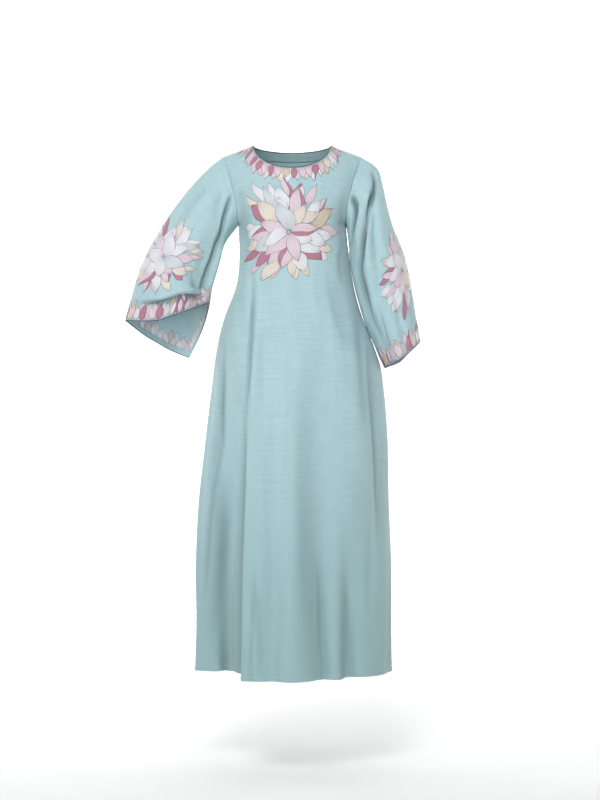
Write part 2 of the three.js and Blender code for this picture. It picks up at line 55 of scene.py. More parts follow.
HEM_Z = -1.316
UNDERARM_Z = -0.203
SHOULDER_TIP = (0.174, -0.033)
NECK_POINT = (0.097, -0.004)
SHOULDER_Y = 0.004
NECK_LOW_Z = {"front": -0.070, "back": -0.017}
SQUARENESS = 2.3  # power of the body's oval sections: 2 is an ellipse
FOOT_SHARE = 6 / 28  # share of the front's width from its right side seam to the foot of the deep fold
EDGE_SHARE = 10 / 28  # the same to the front edge of the deep fold
SHOULDER_SHARE = 5 / 28  # share of a panel's width along each shoulder seam
DEEP_FOLD_START_Z = -0.380
DEEP_FOLD_FULL_Z = -0.700
DEEP_FOLD_BOW = 0.010
RISER_ROUNDNESS = 1.3
SEAM_REACH = 0.08  # share of a panel beside its side seam in which its long folds begin
YOKE_HALF_AT_TOP = 0.200  # half width of the body's sections at the height of the neck points
SHOULDER_ROUNDNESS = 1.7  # power of the curve over the shoulders
ARMHOLE_CURVE = 1.5  # how strongly an armhole bows in
ARMHOLE_WIDTH = 0.2  # share of a panel from its side seam that follows the armhole
MOST_LEAN = 0.8  # in radians, of the lines that meet the neckline
HANG_ROUNDING = 0.3  # how blunt the lowest point of a hanging cuff is
ARMHOLE_REACH = 0.4  # share of a sleeve below its head that still follows the armhole


def table(columns, *rows):
    """A short table as one array for each named column."""
    return dict(zip(columns.split(), np.array(rows, float).T, strict=True))


# Half sections of the body at each height: side seams in X, front and back in Y.
BODY = table(
    "z right left front back",
    (-1.316, -0.242, 0.249, -0.190, 0.172),
    (-1.187, -0.239, 0.248, -0.184, 0.166),
    (-1.057, -0.241, 0.248, -0.178, 0.159),
    (-0.890, -0.233, 0.242, -0.169, 0.149),
    (-0.764, -0.219, 0.240, -0.162, 0.140),
    (-0.676, -0.209, 0.235, -0.156, 0.133),
    (-0.605, -0.200, 0.228, -0.150, 0.126),
    (-0.553, -0.194, 0.220, -0.145, 0.119),
    (-0.482, -0.182, 0.195, -0.137, 0.109),
    (-0.427, -0.166, 0.173, -0.131, 0.102),
    (-0.352, -0.138, 0.153, -0.124, 0.098),
    (-0.281, -0.131, 0.142, -0.121, 0.100),
    (-0.203, -0.134, 0.134, -0.118, 0.103),
)

# The deep fold that falls from the hip: its front edge, and the foot that it folds back to.
DEEP_FOLD = table(
    "z edge_x foot_x foot_y",
    (-1.316, -0.126, -0.148, -0.014),
    (-1.190, -0.125, -0.150, -0.024),
    (-1.032, -0.122, -0.142, -0.040),
    (-0.880, -0.116, -0.134, -0.056),
    (-0.780, -0.112, -0.129, -0.068),
    (-0.675, -0.107, -0.123, -0.082),
    (-0.587, -0.102, -0.116, -0.095),
    (-0.500, -0.097, -0.108, -0.107),
    (-0.400, -0.090, -0.098, -0.112),
)

# Long soft folds of the skirt. Each runs from x at its start to x at its end, is fullest at "full",
# and stands out of the section by depth (in, if negative) over about twice its width.
Fold = namedtuple("Fold", "start_x end_x start full end depth width")
FRONT_FOLDS = (
    Fold(-0.066, -0.088, -0.420, -0.900, -1.700, 0.009, 0.030),
    Fold(-0.030, -0.048, -0.560, -1.250, -1.900, -0.012, 0.026),
    Fold(-0.008, -0.002, -0.600, -1.200, -1.900, 0.009, 0.030),
    Fold(0.062, 0.080, -0.700, -1.316, -1.900, -0.030, 0.034),
    Fold(0.120, 0.122, -0.900, -1.316, -1.900, 0.008, 0.024),
    Fold(0.150, 0.160, -0.860, -1.316, -1.900, -0.024, 0.030),
    Fold(0.150, 0.172, -0.640, -1.316, -1.900, -0.030, 0.074),
    Fold(0.196, 0.212, -0.560, -0.900, -1.500, -0.007, 0.014),
    Fold(-0.160, -0.226, -0.440, -0.760, -1.180, 0.011, 0.017),
)
BACK_FOLDS = (
    Fold(-0.150, -0.176, -0.560, -1.250, -1.900, -0.022, 0.030),
    Fold(-0.096, -0.112, -0.480, -1.200, -1.900, 0.013, 0.028),
    Fold(-0.030, -0.042, -0.400, -1.150, -1.900, -0.026, 0.032),
    Fold(0.034, 0.040, -0.520, -1.250, -1.900, 0.014, 0.034),
    Fold(0.092, 0.118, -0.430, -1.200, -1.900, -0.024, 0.030),
    Fold(0.170, 0.192, -0.620, -1.250, -1.900, 0.011, 0.024),
)
PANELS = ("front", "back")
LONG_FOLDS = {"front": FRONT_FOLDS, "back": BACK_FOLDS}
LONG_FOLD_PAINTED_SHADE = {"front": 0.0, "back": 0.42}  # how much painted shade darkens a long fold's hollow, as a share of a crease's painted shade

# Smaller creases. A row gives a crease's depth and width in millimetres, how much wider it is on one
# side than on the other, and the places that its line goes through.
Crease = namedtuple("Crease", "depth width skew line")


def creases(per_unit, *rows):
    """Creases whose places are given so many to a metre, or as shares where that is 1."""
    return [
        Crease(depth / 1000, width / 1000, skew, np.array(line) / per_unit)
        for depth, width, skew, *line in rows
    ]


# On a panel the places are x and z in millimetres.
FRONT_CREASES = creases(
    1000,
    (-5.5, 15, 0.4, (-152, -90), (-140, -150), (-128, -205), (-118, -262)),
    (-2.2, 11, -0.3, (-128, -215), (-104, -262), (-92, -330)),
    (-4, 12, -0.4, (150, -100), (136, -155), (126, -205), (118, -262)),
    (-3, 11, 0.3, (132, -228), (120, -300), (132, -375)),
    (-3.2, 16, 0.2, (96, -330), (112, -430), (150, -540)),
    (-1.6, 18, -0.2, (60, -400), (66, -520), (58, -680)),
    (-2.2, 12, 0.3, (-60, -420), (-78, -520), (-80, -660)),
    (-1.8, 13, 0.2, (-36, -500), (-42, -700), (-36, -960)),
    (3.4, 20, 0, (-24, -480), (-26, -800), (-16, -1200)),
    (-5.6, 30, 0.3, (30, -460), (32, -860), (42, -1300)),
    (-8, 9, 0.3, (186, -420), (196, -620), (206, -780), (216, -1060)),
    (-6, 13, -0.2, (160, -360), (174, -540), (188, -780)),
    (-8, 5.5, 0.3, (-94, -300), (-101, -480), (-109, -600), (-115, -700)),
    (-11, 6.6, 0.3, (-107, -540), (-120, -800), (-129, -1050), (-133, -1316), (-133, -1640)),
    (-6.5, 7, 0.2, (-168, -440), (-175.5, -640), (-176, -750), (-192, -860)),
    (-6, 7, 0.2, (-178, -740), (-194, -850), (-207, -960), (-222, -1180)),
    (-6, 8, 0.3, (64, -980), (70, -1120), (72, -1220), (90, -1460)),
    (-3.6, 10, -0.2, (120, -980), (140, -1180), (160, -1500)),
    (-5.5, 7, 0.2, (-92, -1000), (-94, -1160), (-104, -1450)),
    (-12, 15, 0, (-158, -800), (-168, -1080), (-162, -1560)),
    (3, 20, 0.1, (128, -740), (146, -960), (140, -1180)),
    (-5, 12, 0.2, (-168, -520), (-184, -700), (-206, -900)),
    (-6, 16, -0.2, (-176, -760), (-180, -980), (-196, -1316)),
    (4, 13, 0, (-160, -940), (-166, -1130), (-162, -1330)),
    (4, 7, 0.5, (-102, -1150), (-92, -1240), (-104, -1330)),
    (-3.6, 10, 0.2, (-86, -1050), (-78, -1190), (-72, -1330)),
    (3, 10, 0.2, (-20, -1200), (-30, -1270), (-26, -1340)),
    (-1, 14, 0, (-118, -150), (-70, -112), (-20, -100)),
)
BACK_CREASES = creases(
    1000,
    (-5.5, 16, 0.4, (-150, -85), (-136, -150), (-124, -215), (-112, -290)),
    (-6, 15, -0.4, (150, -85), (138, -150), (124, -215), (110, -285)),
    (-3, 15, 0.2, (-90, -240), (-70, -330), (-74, -430)),
    (-2.8, 16, -0.2, (76, -230), (58, -320), (66, -420)),
    (-2.2, 20, 0.2, (-12, -330), (6, -420), (-10, -540)),
    (-3.6, 16, 0.3, (120, -350), (140, -470), (172, -600)),
    (-4, 16, -0.2, (-118, -360), (-142, -500), (-176, -660)),
    (-5, 16, 0.2, (-200, -700), (-206, -900), (-212, -1200)),
    (-3, 18, 0.1, (60, -700), (70, -950), (72, -1260)),
    (-4.5, 15, -0.2, (200, -720), (216, -960), (220, -1330)),
    (3.6, 11, 0.3, (144, -1060), (150, -1200), (146, -1330)),
    (-3.4, 11, 0.2, (-70, -1040), (-66, -1190), (-74, -1330)),
)

PANEL_CREASES = {"front": FRONT_CREASES, "back": BACK_CREASES}

# Sleeves. A station is a ring: its outer and inner edge seen from the front, its half depths to the
# front and back, and how far its front and back hang below the line of its edges.
STATION_COLUMNS = "out_x out_z in_x in_z front back front_drop back_drop"
RIGHT_STATIONS = table(
    STATION_COLUMNS,
    (-0.174, -0.033, -0.134, -0.203, 0.060, 0.056, 0.000, 0.000),
    (-0.213, -0.065, -0.146, -0.219, 0.064, 0.060, 0.000, 0.004),
    (-0.262, -0.118, -0.160, -0.237, 0.066, 0.062, 0.000, 0.008),
    (-0.309, -0.182, -0.171, -0.258, 0.068, 0.064, 0.002, 0.014),
    (-0.350, -0.250, -0.180, -0.290, 0.070, 0.066, 0.006, 0.028),
    (-0.380, -0.313, -0.190, -0.324, 0.074, 0.066, 0.012, 0.052),
    (-0.398, -0.372, -0.199, -0.356, 0.080, 0.064, 0.014, 0.084),
    (-0.406, -0.402, -0.202, -0.374, 0.062, 0.062, 0.012, 0.102),
    (-0.416, -0.440, -0.206, -0.396, 0.058, 0.060, 0.020, 0.124),
)
LEFT_STATIONS = table(
    STATION_COLUMNS,
    (0.174, -0.033, 0.134, -0.203, 0.060, 0.056, 0.000, 0.000),
    (0.213, -0.060, 0.139, -0.222, 0.068, 0.064, 0.002, 0.002),
    (0.226, -0.098, 0.143, -0.252, 0.074, 0.070, 0.004, 0.004),
    (0.237, -0.150, 0.149, -0.293, 0.079, 0.075, 0.005, 0.005),
    (0.252, -0.206, 0.157, -0.340, 0.084, 0.080, 0.006, 0.006),
    (0.276, -0.268, 0.168, -0.388, 0.089, 0.086, 0.007, 0.007),
    (0.294, -0.338, 0.184, -0.440, 0.095, 0.091, 0.008, 0.008),
    (0.307, -0.416, 0.206, -0.496, 0.101, 0.096, 0.008, 0.010),
    (0.319, -0.492, 0.232, -0.558, 0.107, 0.101, 0.008, 0.016),
)
# A sleeve's long folds run round it from one share to another as they go down it. The places of its
# creases are shares of the way round and down.
SleeveFold = namedtuple("SleeveFold", "start_at end_at start full end depth width")
RIGHT_FOLDS = (
    SleeveFold(0.10, 0.17, 0.12, 0.50, 0.95, -0.009, 0.035),
    SleeveFold(0.30, 0.40, 0.25, 0.70, 1.20, -0.013, 0.035),
    SleeveFold(0.36, 0.31, 0.50, 0.90, 1.40, 0.008, 0.030),
    SleeveFold(0.62, 0.66, 0.20, 0.80, 1.50, -0.014, 0.040),
    SleeveFold(0.80, 0.78, 0.35, 0.90, 1.60, -0.011, 0.035),
)
LEFT_FOLDS = (
    SleeveFold(0.11, 0.37, 0.08, 0.40, 1.30, -0.017, 0.035),
    SleeveFold(0.20, 0.44, 0.10, 0.45, 1.30, 0.008, 0.030),
    SleeveFold(0.17, 0.22, 0.40, 0.85, 1.60, -0.010, 0.035),
    SleeveFold(0.60, 0.64, 0.20, 0.80, 1.60, -0.015, 0.040),
    SleeveFold(0.84, 0.80, 0.15, 0.80, 1.60, -0.012, 0.035),
)
RIGHT_CREASES = creases(
    1,
    (-13, 9, 0.4, (0.09, 0.88), (0.17, 0.862), (0.24, 0.832), (0.29, 0.806), (0.34, 0.835), (0.46, 0.99)),
    (8, 12, 0.2, (0.08, 0.825), (0.17, 0.8), (0.24, 0.768), (0.3, 0.745), (0.37, 0.8), (0.46, 0.93)),
    (-13, 10.5, -0.3, (0.26, -0.06), (0.29, 0.06), (0.345, 0.17), (0.4, 0.3), (0.43, 0.5)),
    (-13, 9.5, -0.3, (0.37, 0.26), (0.4, 0.46), (0.4, 0.64), (0.415, 0.98)),
    (7, 10, 0, (0.43, 0.24), (0.45, 0.5), (0.448, 0.94)),
    (-5.5, 10, 0.5, (0.31, 0.56), (0.34, 0.68), (0.4, 0.8)),
    (-4, 13, 0.2, (0.18, 0.06), (0.25, 0.16), (0.34, 0.26)),
    (-2.4, 14, 0.1, (0.1, 0.14), (0.15, 0.3), (0.18, 0.44)),
    (-6, 13, 0.3, (0.55, 0.1), (0.58, 0.34), (0.6, 0.6)),
    (-5, 14, -0.2, (0.7, 0.2), (0.72, 0.5), (0.71, 0.86)),
    (-3.4, 14, 0.2, (0.88, 0.3), (0.9, 0.58), (0.87, 0.84)),
)
LEFT_CREASES = creases(
    1,
    (-16.5, 13.5, -0.3, (0.04, 0.08), (0.107, 0.197), (0.18, 0.244), (0.247, 0.315), (0.32, 0.385)),
    (-17.5, 13, -0.3, (0.18, 0.22), (0.307, 0.369), (0.347, 0.432), (0.393, 0.51), (0.435, 0.74)),
    (-17.5, 13.5, 0, (0.28, -0.1), (0.307, 0.083), (0.327, 0.137), (0.38, 0.19), (0.49, 0.32)),
    (7.1, 18, 0, (0.458, 0.06), (0.458, 0.58), (0.458, 1.16)),
    (-12, 11, -0.3, (0.2, 0.16), (0.307, 0.33), (0.35, 0.43), (0.388, 0.54), (0.41, 0.86)),
    (-3, 13, 0.2, (0.07, 0.06), (0.09, 0.18), (0.16, 0.34)),
    (-5.5, 11, 0.3, (0.36, 0.5), (0.39, 0.72), (0.38, 0.97)),
    (5, 12, 0.2, (0.3, 0.66), (0.31, 0.82), (0.3, 0.99)),
    (-4, 15, 0.1, (0.1, 0.5), (0.13, 0.7), (0.12, 0.96)),
    (-6, 14, 0.3, (0.56, 0.12), (0.6, 0.4), (0.58, 0.74)),
    (-6, 15, -0.3, (0.72, 0.18), (0.7, 0.52), (0.73, 0.94)),
    (-3.6, 14, 0.2, (0.9, 0.24), (0.93, 0.5), (0.9, 0.9)),
)
Sleeve = namedtuple("Sleeve", "side front_low_at back_low_at stations folds creases")
SLEEVES = {
    "right": Sleeve(-1, 0.2, -0.53, RIGHT_STATIONS, RIGHT_FOLDS, RIGHT_CREASES),
    "left": Sleeve(1, 0.0, 0.0, LEFT_STATIONS, LEFT_FOLDS, LEFT_CREASES),
}
for sleeve in SLEEVES.values():
    sleeve.stations["along"] = np.linspace(0, 1, len(sleeve.stations["out_x"]))
SLEEVE_ROUND = 0.52  # usual length round a sleeve, which turns a crease's shares into metres
SLEEVE_LONG = 0.48

# What shows of each cut piece, laid flat: its width and length in metres and its area in square
# metres. The pieces sewn on a panel or a sleeve have its side in their names.
Cut = namedtuple("Cut", "width length area")
CUTS = {
    "front": Cut(0.768, 1.356, 0.745),
    "back": Cut(0.724, 1.351, 0.717),
    "right": Cut(0.635, 0.484, 0.188),
    "left": Cut(0.550, 0.494, 0.212),
}
SEWN_ON_PANEL = ("{}_hem_band", "{}_hem_stitches", "{}_neck_facing", "neck_petals_{}")
SEWN_ON_ONE = {"front": "chest_flower", "back": "neck_piping_cord"}
SEWN_ON_SLEEVE = (
    "cuff_turn_in_{}",
    "cuff_piping_cord_{}",
    "sleeve_flower_{}",
    "cuff_petals_{}",
    "cuff_petals_inside_{}",
)

# ---- how finely the cloth is meshed ----

PANEL_COLUMNS = 200
SKIRT_ROWS = 120
YOKE_ROWS = 70
SLEEVE_COLUMNS = 150
SLEEVE_ROWS = 110
EDGE_STEPS = (0.0012, 0.003, 0.0055, 0.009, 0.0115, 0.013, 0.0145, 0.017)  # extra rows near an edge
SEAM_STEPS = (0.0012, 0.0028, 0.005, 0.008)
PANEL_RUN = 0.55  # usual length across a panel, by which its extra columns are placed
FULL_PAINTED_SHADE_DEPTH = 0.014  # depth at which a crease's painted shade is at its darkest
HEM_TONE_HEIGHTS = (0.0, 0.75)  # heights over the hem between which the cloth turns from its darker colour at the hem to its own
WRAP = 30  # columns of a tube that are met again past its start, for what crosses it

# ---- strips inside the edges, and small relief, in metres ----

BAND_THICKNESS = 0.00055
BAND_DEPTH = 0.00078  # from the middle of the cloth to the middle of a strip against it
TURN_IN_DEPTH = 0.00120  # the same over the wrong side of the petals
FACING_WIDTH = 0.030
BAND_MARGIN = 0.0004  # from the top of the hem's strip up to its row of stitches
STITCH_MARGIN = 0.004  # from a side seam to the first stitch of the hem
STITCH_PITCH = 0.0044
STITCH_SIZE = (0.0030, 0.0005, 0.0005)
STITCH_LIFT = 0.0005  # height of a stitch's middle over the middle of the cloth
PIPING_SIDES = 12
PIPING_OUT = 0.6  # how far the cord's middle lies past the cloth's edge, as a share of its radius

# How deep a row of stitches sinks, over what width, and the height and pitch of its puckers.
Relief = namedtuple("Relief", "dip width pucker pitch")
SEAM_RELIEF = Relief(0.0006, 0.0020, 0.0005, 0.019)
STITCH_RELIEF = Relief(0.0008, 0.0016, 0.0006, 0.021)
PUCKER_REACH = 0.010
HEM_RELIEF = 0.0007  # how far the doubled cloth of the hem stands out
HEM_EDGE = (0.0008, 0.0012)  # where that fades, below and above the row of stitches
CREASE_FREE = 0.030  # stretch beside a panel's side seam in which its creases fade
SLEEVE_CREASE_FREE = 0.07  # share of a sleeve below its head in which they fade
CREASE_ENDS = 0.35  # share of a crease in which it grows from each end

# ---- curves and surfaces ----


def lerp(start, end, share):
    return start + (end - start) * share


def smooth(start, end, value):
    share = np.clip((value - start) / (end - start), 0, 1)
    return share * share * (3 - 2 * share)


def signed_power(value, power):
    return np.sign(value) * np.abs(value) ** power


def points(x, y, z):
    return np.stack(np.broadcast_arrays(x, y, z), axis=-1).astype(float)


def toward(first, second, share):
    """Part of the way from one set of points to another."""
    return first + (second - first) * np.asarray(share)[..., None]


def unit(vectors):
    return vectors / np.maximum(np.linalg.norm(vectors, axis=-1, keepdims=True), 1e-12)


def hermite(share, start, end, slope_start, slope_end):
    square, cube = share**2, share**3
    return (
        (2 * cube - 3 * square + 1) * start
        + (3 * square - 2 * cube) * end
        + (cube - 2 * square + share) * slope_start
        + (cube - square) * slope_end
    )


def read(rows, by, at, column):
    """A smooth curve through one column of a table whose rows are in rising order of another."""
    places, values = rows[by], rows[column]
    last = len(places) - 1
    at = np.clip(at, places[0], places[-1])
    here = np.clip(np.searchsorted(places, at) - 1, 0, last - 1)
    before, after = np.maximum(here - 1, 0), np.minimum(here + 2, last)
    span = places[here + 1] - places[here]
    slope_here = (values[here + 1] - values[before]) / (places[here + 1] - places[before]) * span
    slope_next = (values[after] - values[here]) / (places[after] - places[here]) * span
    share = (at - places[here]) / span
    return hermite(share, values[here], values[here + 1], slope_here, slope_next)


def body_oval(side, across, z):
    right, left = read(BODY, "z", z, "right"), read(BODY, "z", z, "left")
    angle = np.pi * np.asarray(across)
    half = (left - right) / 2
    x = (left + right) / 2 - half * signed_power(np.cos(angle), 2 / SQUARENESS)
    y = read(BODY, "z", z, side) * np.maximum(np.sin(angle), 0) ** (2 / SQUARENESS)
    return points(x, y, z)


def across_at(x, z):
    """The share across a panel at which its oval reaches x."""
    right, left = read(BODY, "z", z, "right"), read(BODY, "z", z, "left")
    share = ((left + right) / 2 - x) / ((left - right) / 2)
    return np.arccos(signed_power(share, SQUARENESS / 2)) / np.pi


def fold_growth(fold, at):
    growing = (at > fold.full) == (fold.start > fold.full)
    return np.where(growing, smooth(fold.start, fold.full, at), 1 - smooth(fold.full, fold.end, at))


def fold_shift(folds, x, z):
    """How far the long folds stand out of the section at a place."""
    shift = 0
    for fold in folds:
        along = (fold.start - z) / (fold.start - max(fold.end, HEM_Z))
        away = (x - lerp(fold.start_x, fold.end_x, along)) / fold.width
        shift = shift + fold.depth * fold_growth(fold, z) * np.exp(-away * away)
    return shift


def soft_folds(place, folds, side):
    x, y, z = np.moveaxis(place, -1, 0)
    left, right = read(BODY, "z", z, "left"), read(BODY, "z", z, "right")
    half, depth = (left - right) / 2, read(BODY, "z", z, side)
    outwards = unit(points((x - (left + right) / 2) / half**2, y / depth**2, 0))
    return place + outwards * fold_shift(folds, x, z)[..., None]


def back_skirt(share, z):
    place = body_oval("back", share, z)
    inside = smooth(0, SEAM_REACH, np.minimum(share, 1 - share))
    return toward(place, soft_folds(place, BACK_FOLDS, "back"), inside)


def front_skirt(share, z):
    """The front below the underarm: behind the deep fold, up its riser, then the broad front."""

    def fold(column):
        return read(DEEP_FOLD, "z", z, column)

    def folded(place):
        return soft_folds(place, FRONT_FOLDS, "front")

    settle = smooth(UNDERARM_Z, DEEP_FOLD_START_Z, z)
    foot_across = lerp(FOOT_SHARE, across_at(fold("foot_x"), z), settle)
    edge_across = lerp(EDGE_SHARE, across_at(fold("edge_x"), z), settle)
    depth = smooth(DEEP_FOLD_START_Z, DEEP_FOLD_FULL_Z, z)
    foot = points(fold("foot_x"), fold("foot_y"), z)

    along = np.clip(share / FOOT_SHARE, 0, 1)
    behind = toward(body_oval("front", 0, z), foot, along)
    behind[..., 1] -= DEEP_FOLD_BOW * np.sin(np.pi * along)
    side_cloth = toward(body_oval("front", along * foot_across, z), behind, depth)
    inside = smooth(0, 0.3, np.minimum(along, 1 - along))
    side_cloth = toward(side_cloth, folded(side_cloth), inside)

    along = np.clip((share - FOOT_SHARE) / (EDGE_SHARE - FOOT_SHARE), 0, 1)
    edge = folded(body_oval("front", edge_across, z))
    riser = points(
        lerp(foot[..., 0], edge[..., 0], 1 - (1 - along) ** 2),
        lerp(foot[..., 1], edge[..., 1], along**RISER_ROUNDNESS),
        z,
    )
    riser = toward(body_oval("front", lerp(foot_across, edge_across, along), z), riser, depth)

    along = np.clip((share - EDGE_SHARE) / (1 - EDGE_SHARE), 0, 1)
    broad = body_oval("front", lerp(edge_across, 1, along), z)
    broad = toward(broad, folded(broad), smooth(0, SEAM_REACH, 1 - along))
    which = np.broadcast_to(share, broad.shape[:-1])[..., None]
    return np.where(which <= FOOT_SHARE, side_cloth, np.where(which < EDGE_SHARE, riser, broad))


SKIRTS = {"front": front_skirt, "back": back_skirt}


def yoke_depth(side, x, z):
    """How far the cloth stands off the shoulder seams' plane above the underarm."""
    up = (z - UNDERARM_Z) / (NECK_POINT[1] - UNDERARM_Z)
    half = lerp(read(BODY, "z", UNDERARM_Z, "left"), YOKE_HALF_AT_TOP, up)
    slope = (SHOULDER_TIP[1] - NECK_POINT[1]) / (SHOULDER_TIP[0] - NECK_POINT[0])
    ridge = NECK_POINT[1] + slope * (np.abs(x) - NECK_POINT[0])
    across = np.minimum(np.abs(x) / half, 1) ** SQUARENESS
    over = np.clip((z - UNDERARM_Z) / (ridge - UNDERARM_Z), 0, 1) ** SHOULDER_ROUNDNESS
    depth = read(BODY, "z", UNDERARM_Z, side)
    return depth * (1 - across) ** (1 / SQUARENESS) * (1 - over) ** (1 / SHOULDER_ROUNDNESS)


def top_edge(side, share):
    """The top of a panel: shoulder seam, neckline, shoulder seam."""
    from_side = np.minimum(share, 1 - share)
    along = np.clip(from_side / SHOULDER_SHARE, 0, 1)
    sign = np.where(share < 0.5, -1, 1)
    angle = np.pi * np.clip((share - SHOULDER_SHARE) / (1 - 2 * SHOULDER_SHARE), 0, 1)
    on_shoulder = from_side < SHOULDER_SHARE
    neck_x = -NECK_POINT[0] * np.cos(angle)
    neck_z = lerp(NECK_POINT[1], NECK_LOW_Z[side], np.sin(angle))
    x = np.where(on_shoulder, sign * lerp(SHOULDER_TIP[0], NECK_POINT[0], along), neck_x)
    z = np.where(on_shoulder, lerp(SHOULDER_TIP[1], NECK_POINT[1], along), neck_z)
    y = np.where(on_shoulder, SHOULDER_Y, SHOULDER_Y + yoke_depth(side, neck_x, neck_z))
    return points(x, y, z)


def yoke(side, share, up):
    start = SKIRTS[side](share, np.full_like(share, UNDERARM_Z))
    end = top_edge(side, share)
    rise = end[..., 2] - start[..., 2]
    from_side = np.minimum(share, 1 - share)
    along_neck = np.maximum(from_side - SHOULDER_SHARE, 0) / (1 - 2 * SHOULDER_SHARE)
    drop = NECK_POINT[1] - NECK_LOW_Z[side]
    square = np.arctan2(drop * np.cos(np.pi * along_neck), NECK_POINT[0] * np.sin(np.pi * along_neck))
    lean = np.minimum(square, MOST_LEAN) * smooth(0, SHOULDER_SHARE, from_side)
    armhole = 1 - smooth(0, ARMHOLE_WIDTH, from_side)
    lean_in = np.where(share < 0.5, 1, -1) * np.sin(lean) * rise
    lean_out = ARMHOLE_CURVE * (end[..., 0] - start[..., 0])
    x = hermite(up, start[..., 0], end[..., 0], 0, lerp(lean_in, lean_out, armhole))
    z = hermite(up, start[..., 2], end[..., 2], rise, np.cos(lean) * rise)
    return points(x, lerp(0, SHOULDER_Y, up) + yoke_depth(side, x, z), z)


def hang(across, low_at):
    nearest = np.minimum((1 + across) / (1 + low_at), (1 - across) / (1 - low_at))
    return nearest * (1 - HANG_ROUNDING * nearest) / (1 - HANG_ROUNDING)


def sleeve_ring(sleeve, around, along):
    def size(column):
        return read(sleeve.stations, "along", along, column)

    turn = 2 * np.pi * around
    front = np.sin(turn) > 0
    half_x = (size("out_x") - size("in_x")) / 2
    half_z = (size("out_z") - size("in_z")) / 2
    depth = np.where(front, size("front"), size("back"))
    drop = np.where(front, size("front_drop"), size("back_drop"))
    hanging = np.where(front, hang(np.cos(turn), sleeve.front_low_at), hang(np.cos(turn), sleeve.back_low_at))
    scale = np.sqrt(half_x**2 + half_z**2 + depth**2)
    wide = 1
    for fold in sleeve.folds:
        off = (around - lerp(fold.start_at, fold.end_at, along)) / fold.width
        wide = wide + fold.depth * fold_growth(fold, along) * np.exp(-off * off) / scale
    return points(
        (size("out_x") + size("in_x")) / 2 + half_x * np.cos(turn) * wide,
        -depth * np.sin(turn) * wide,
        (size("out_z") + size("in_z")) / 2 + half_z * np.cos(turn) * wide - drop * hanging,
    )


def armhole(sleeve, around):
    share = np.full_like(around, 0.0 if sleeve.side < 0 else 1.0)
    in_front = yoke("front", share, np.clip(1 - 2 * around, 0, 1))
    behind = yoke("back", share, np.clip(2 * around - 1, 0, 1))
    return np.where((around <= 0.5)[..., None], in_front, behind)


def sleeve_surface(sleeve, around, along):
    own = armhole(sleeve, around) - sleeve_ring(sleeve, around, np.zeros_like(along))
    keep = 1 - smooth(0, ARMHOLE_REACH, along)
    return sleeve_ring(sleeve, around, along) + own * keep[..., None]


def crease_field(a, b, lines, wraps=None):
    """How far the creases move the cloth at places (a, b), which are metres across and along it."""
    shift = np.zeros_like(a)
    for crease in lines:
        line = crease_line(crease.line)
        steps = np.linalg.norm(np.diff(line, axis=0), axis=1)
        reached = np.concatenate([[0], np.cumsum(steps)])
        nearest = np.full(a.shape, np.inf)
        side = np.zeros_like(a)
        along = np.zeros_like(a)
        for k, step in enumerate(steps):
            run_a, run_b = (line[k + 1] - line[k]) / step
            off_a, off_b = a - line[k][0], b - line[k][1]
            if wraps:
                off_a = (off_a + wraps / 2) % wraps - wraps / 2
            forward = np.clip(off_a * run_a + off_b * run_b, 0, step)
            miss_a, miss_b = off_a - forward * run_a, off_b - forward * run_b
            miss = np.hypot(miss_a, miss_b)
            closer = miss < nearest
            nearest = np.where(closer, miss, nearest)
            side = np.where(closer, np.sign(run_a * miss_b - run_b * miss_a), side)
            along = np.where(closer, (reached[k] + forward) / reached[-1], along)
        away = nearest / (crease.width * (1 + crease.skew * side))
        ends = smooth(0, CREASE_ENDS, along) * (1 - smooth(1 - CREASE_ENDS, 1, along))
        shift += crease.depth * ends * np.exp(-away * away)
    return shift


def crease_line(corners, steps=5):
    """A smooth line through a crease's few places."""
    rows = {"k": np.arange(len(corners)), "a": corners[:, 0], "b": corners[:, 1]}
    at = np.linspace(0, len(corners) - 1, steps * (len(corners) - 1) + 1)
    return np.stack([read(rows, "k", at, "a"), read(rows, "k", at, "b")], axis=1)


# ---- cloth as a grid of points ----


def grid_normals(grid, closed, flip):
    if closed:
        across = np.roll(grid, -1, axis=0) - np.roll(grid, 1, axis=0)
    else:
        across = np.gradient(grid, axis=0)
    return unit(np.cross(across, np.gradient(grid, axis=1)) * flip)


def walked(grid, axis):
    """Length walked along the grid's lines, from their first point."""
    steps = np.linalg.norm(np.diff(grid, axis=axis), axis=-1)
    start = np.zeros_like(np.take(steps, [0], axis=axis))
    return np.cumsum(np.concatenate([start, steps], axis=axis), axis=axis)


def with_steps(shares, length, near_start=(), near_end=()):
    """Shares of a line, with more of them at the given metres from its ends."""
    extra = [step / length for step in near_start] + [1 - step / length for step in near_end]
    return np.unique(np.round(np.concatenate([shares, extra]), 6))


class Cloth:
    """One cut piece as a grid of points and normals, with its metres across and along."""

    def __init__(self, grid, closed, flip):
        self.closed = closed
        self.flip = flip
        self.grid = grid
        # how far the cloth's colour turns to its darker colour at the hem
        self.sheer = np.zeros(grid.shape[:2])
        # painted shade in the creases, from 0 to 1 by their depth
        self.fold = np.zeros(grid.shape[:2])
        self.measure()

    def measure(self):
        self.normals = grid_normals(self.grid, self.closed, self.flip)
        ring = np.concatenate([self.grid, self.grid[:1]]) if self.closed else self.grid
        across = walked(ring, 0)
        middle = across.shape[0] // 2
        self.across = across - across[middle]
        self.along = walked(ring, 1)

    def move_out(self, shift):
        self.grid = self.grid + self.normals * shift[..., None]
        self.measure()

    def part(self, rows, first=0, last=None):
        """A strip of the cloth: the rows that a mask keeps, between two columns."""
        strip = Cloth.__new__(Cloth)
        strip.closed, strip.flip = self.closed, self.flip
        span = slice(first, None if last is None else last + 1)
        strip.grid, strip.normals = self.grid[span][:, rows], self.normals[span][:, rows]
        strip.sheer, strip.fold = self.sheer[span][:, rows], self.fold[span][:, rows]
        strip.across, strip.along = self.across[span][:, rows], self.along[span][:, rows]
        return strip

    def ring(self, values):
        """Values with the first line again at the end, where the piece is a tube."""
        return np.concatenate([values, values[:1]]) if self.closed else values


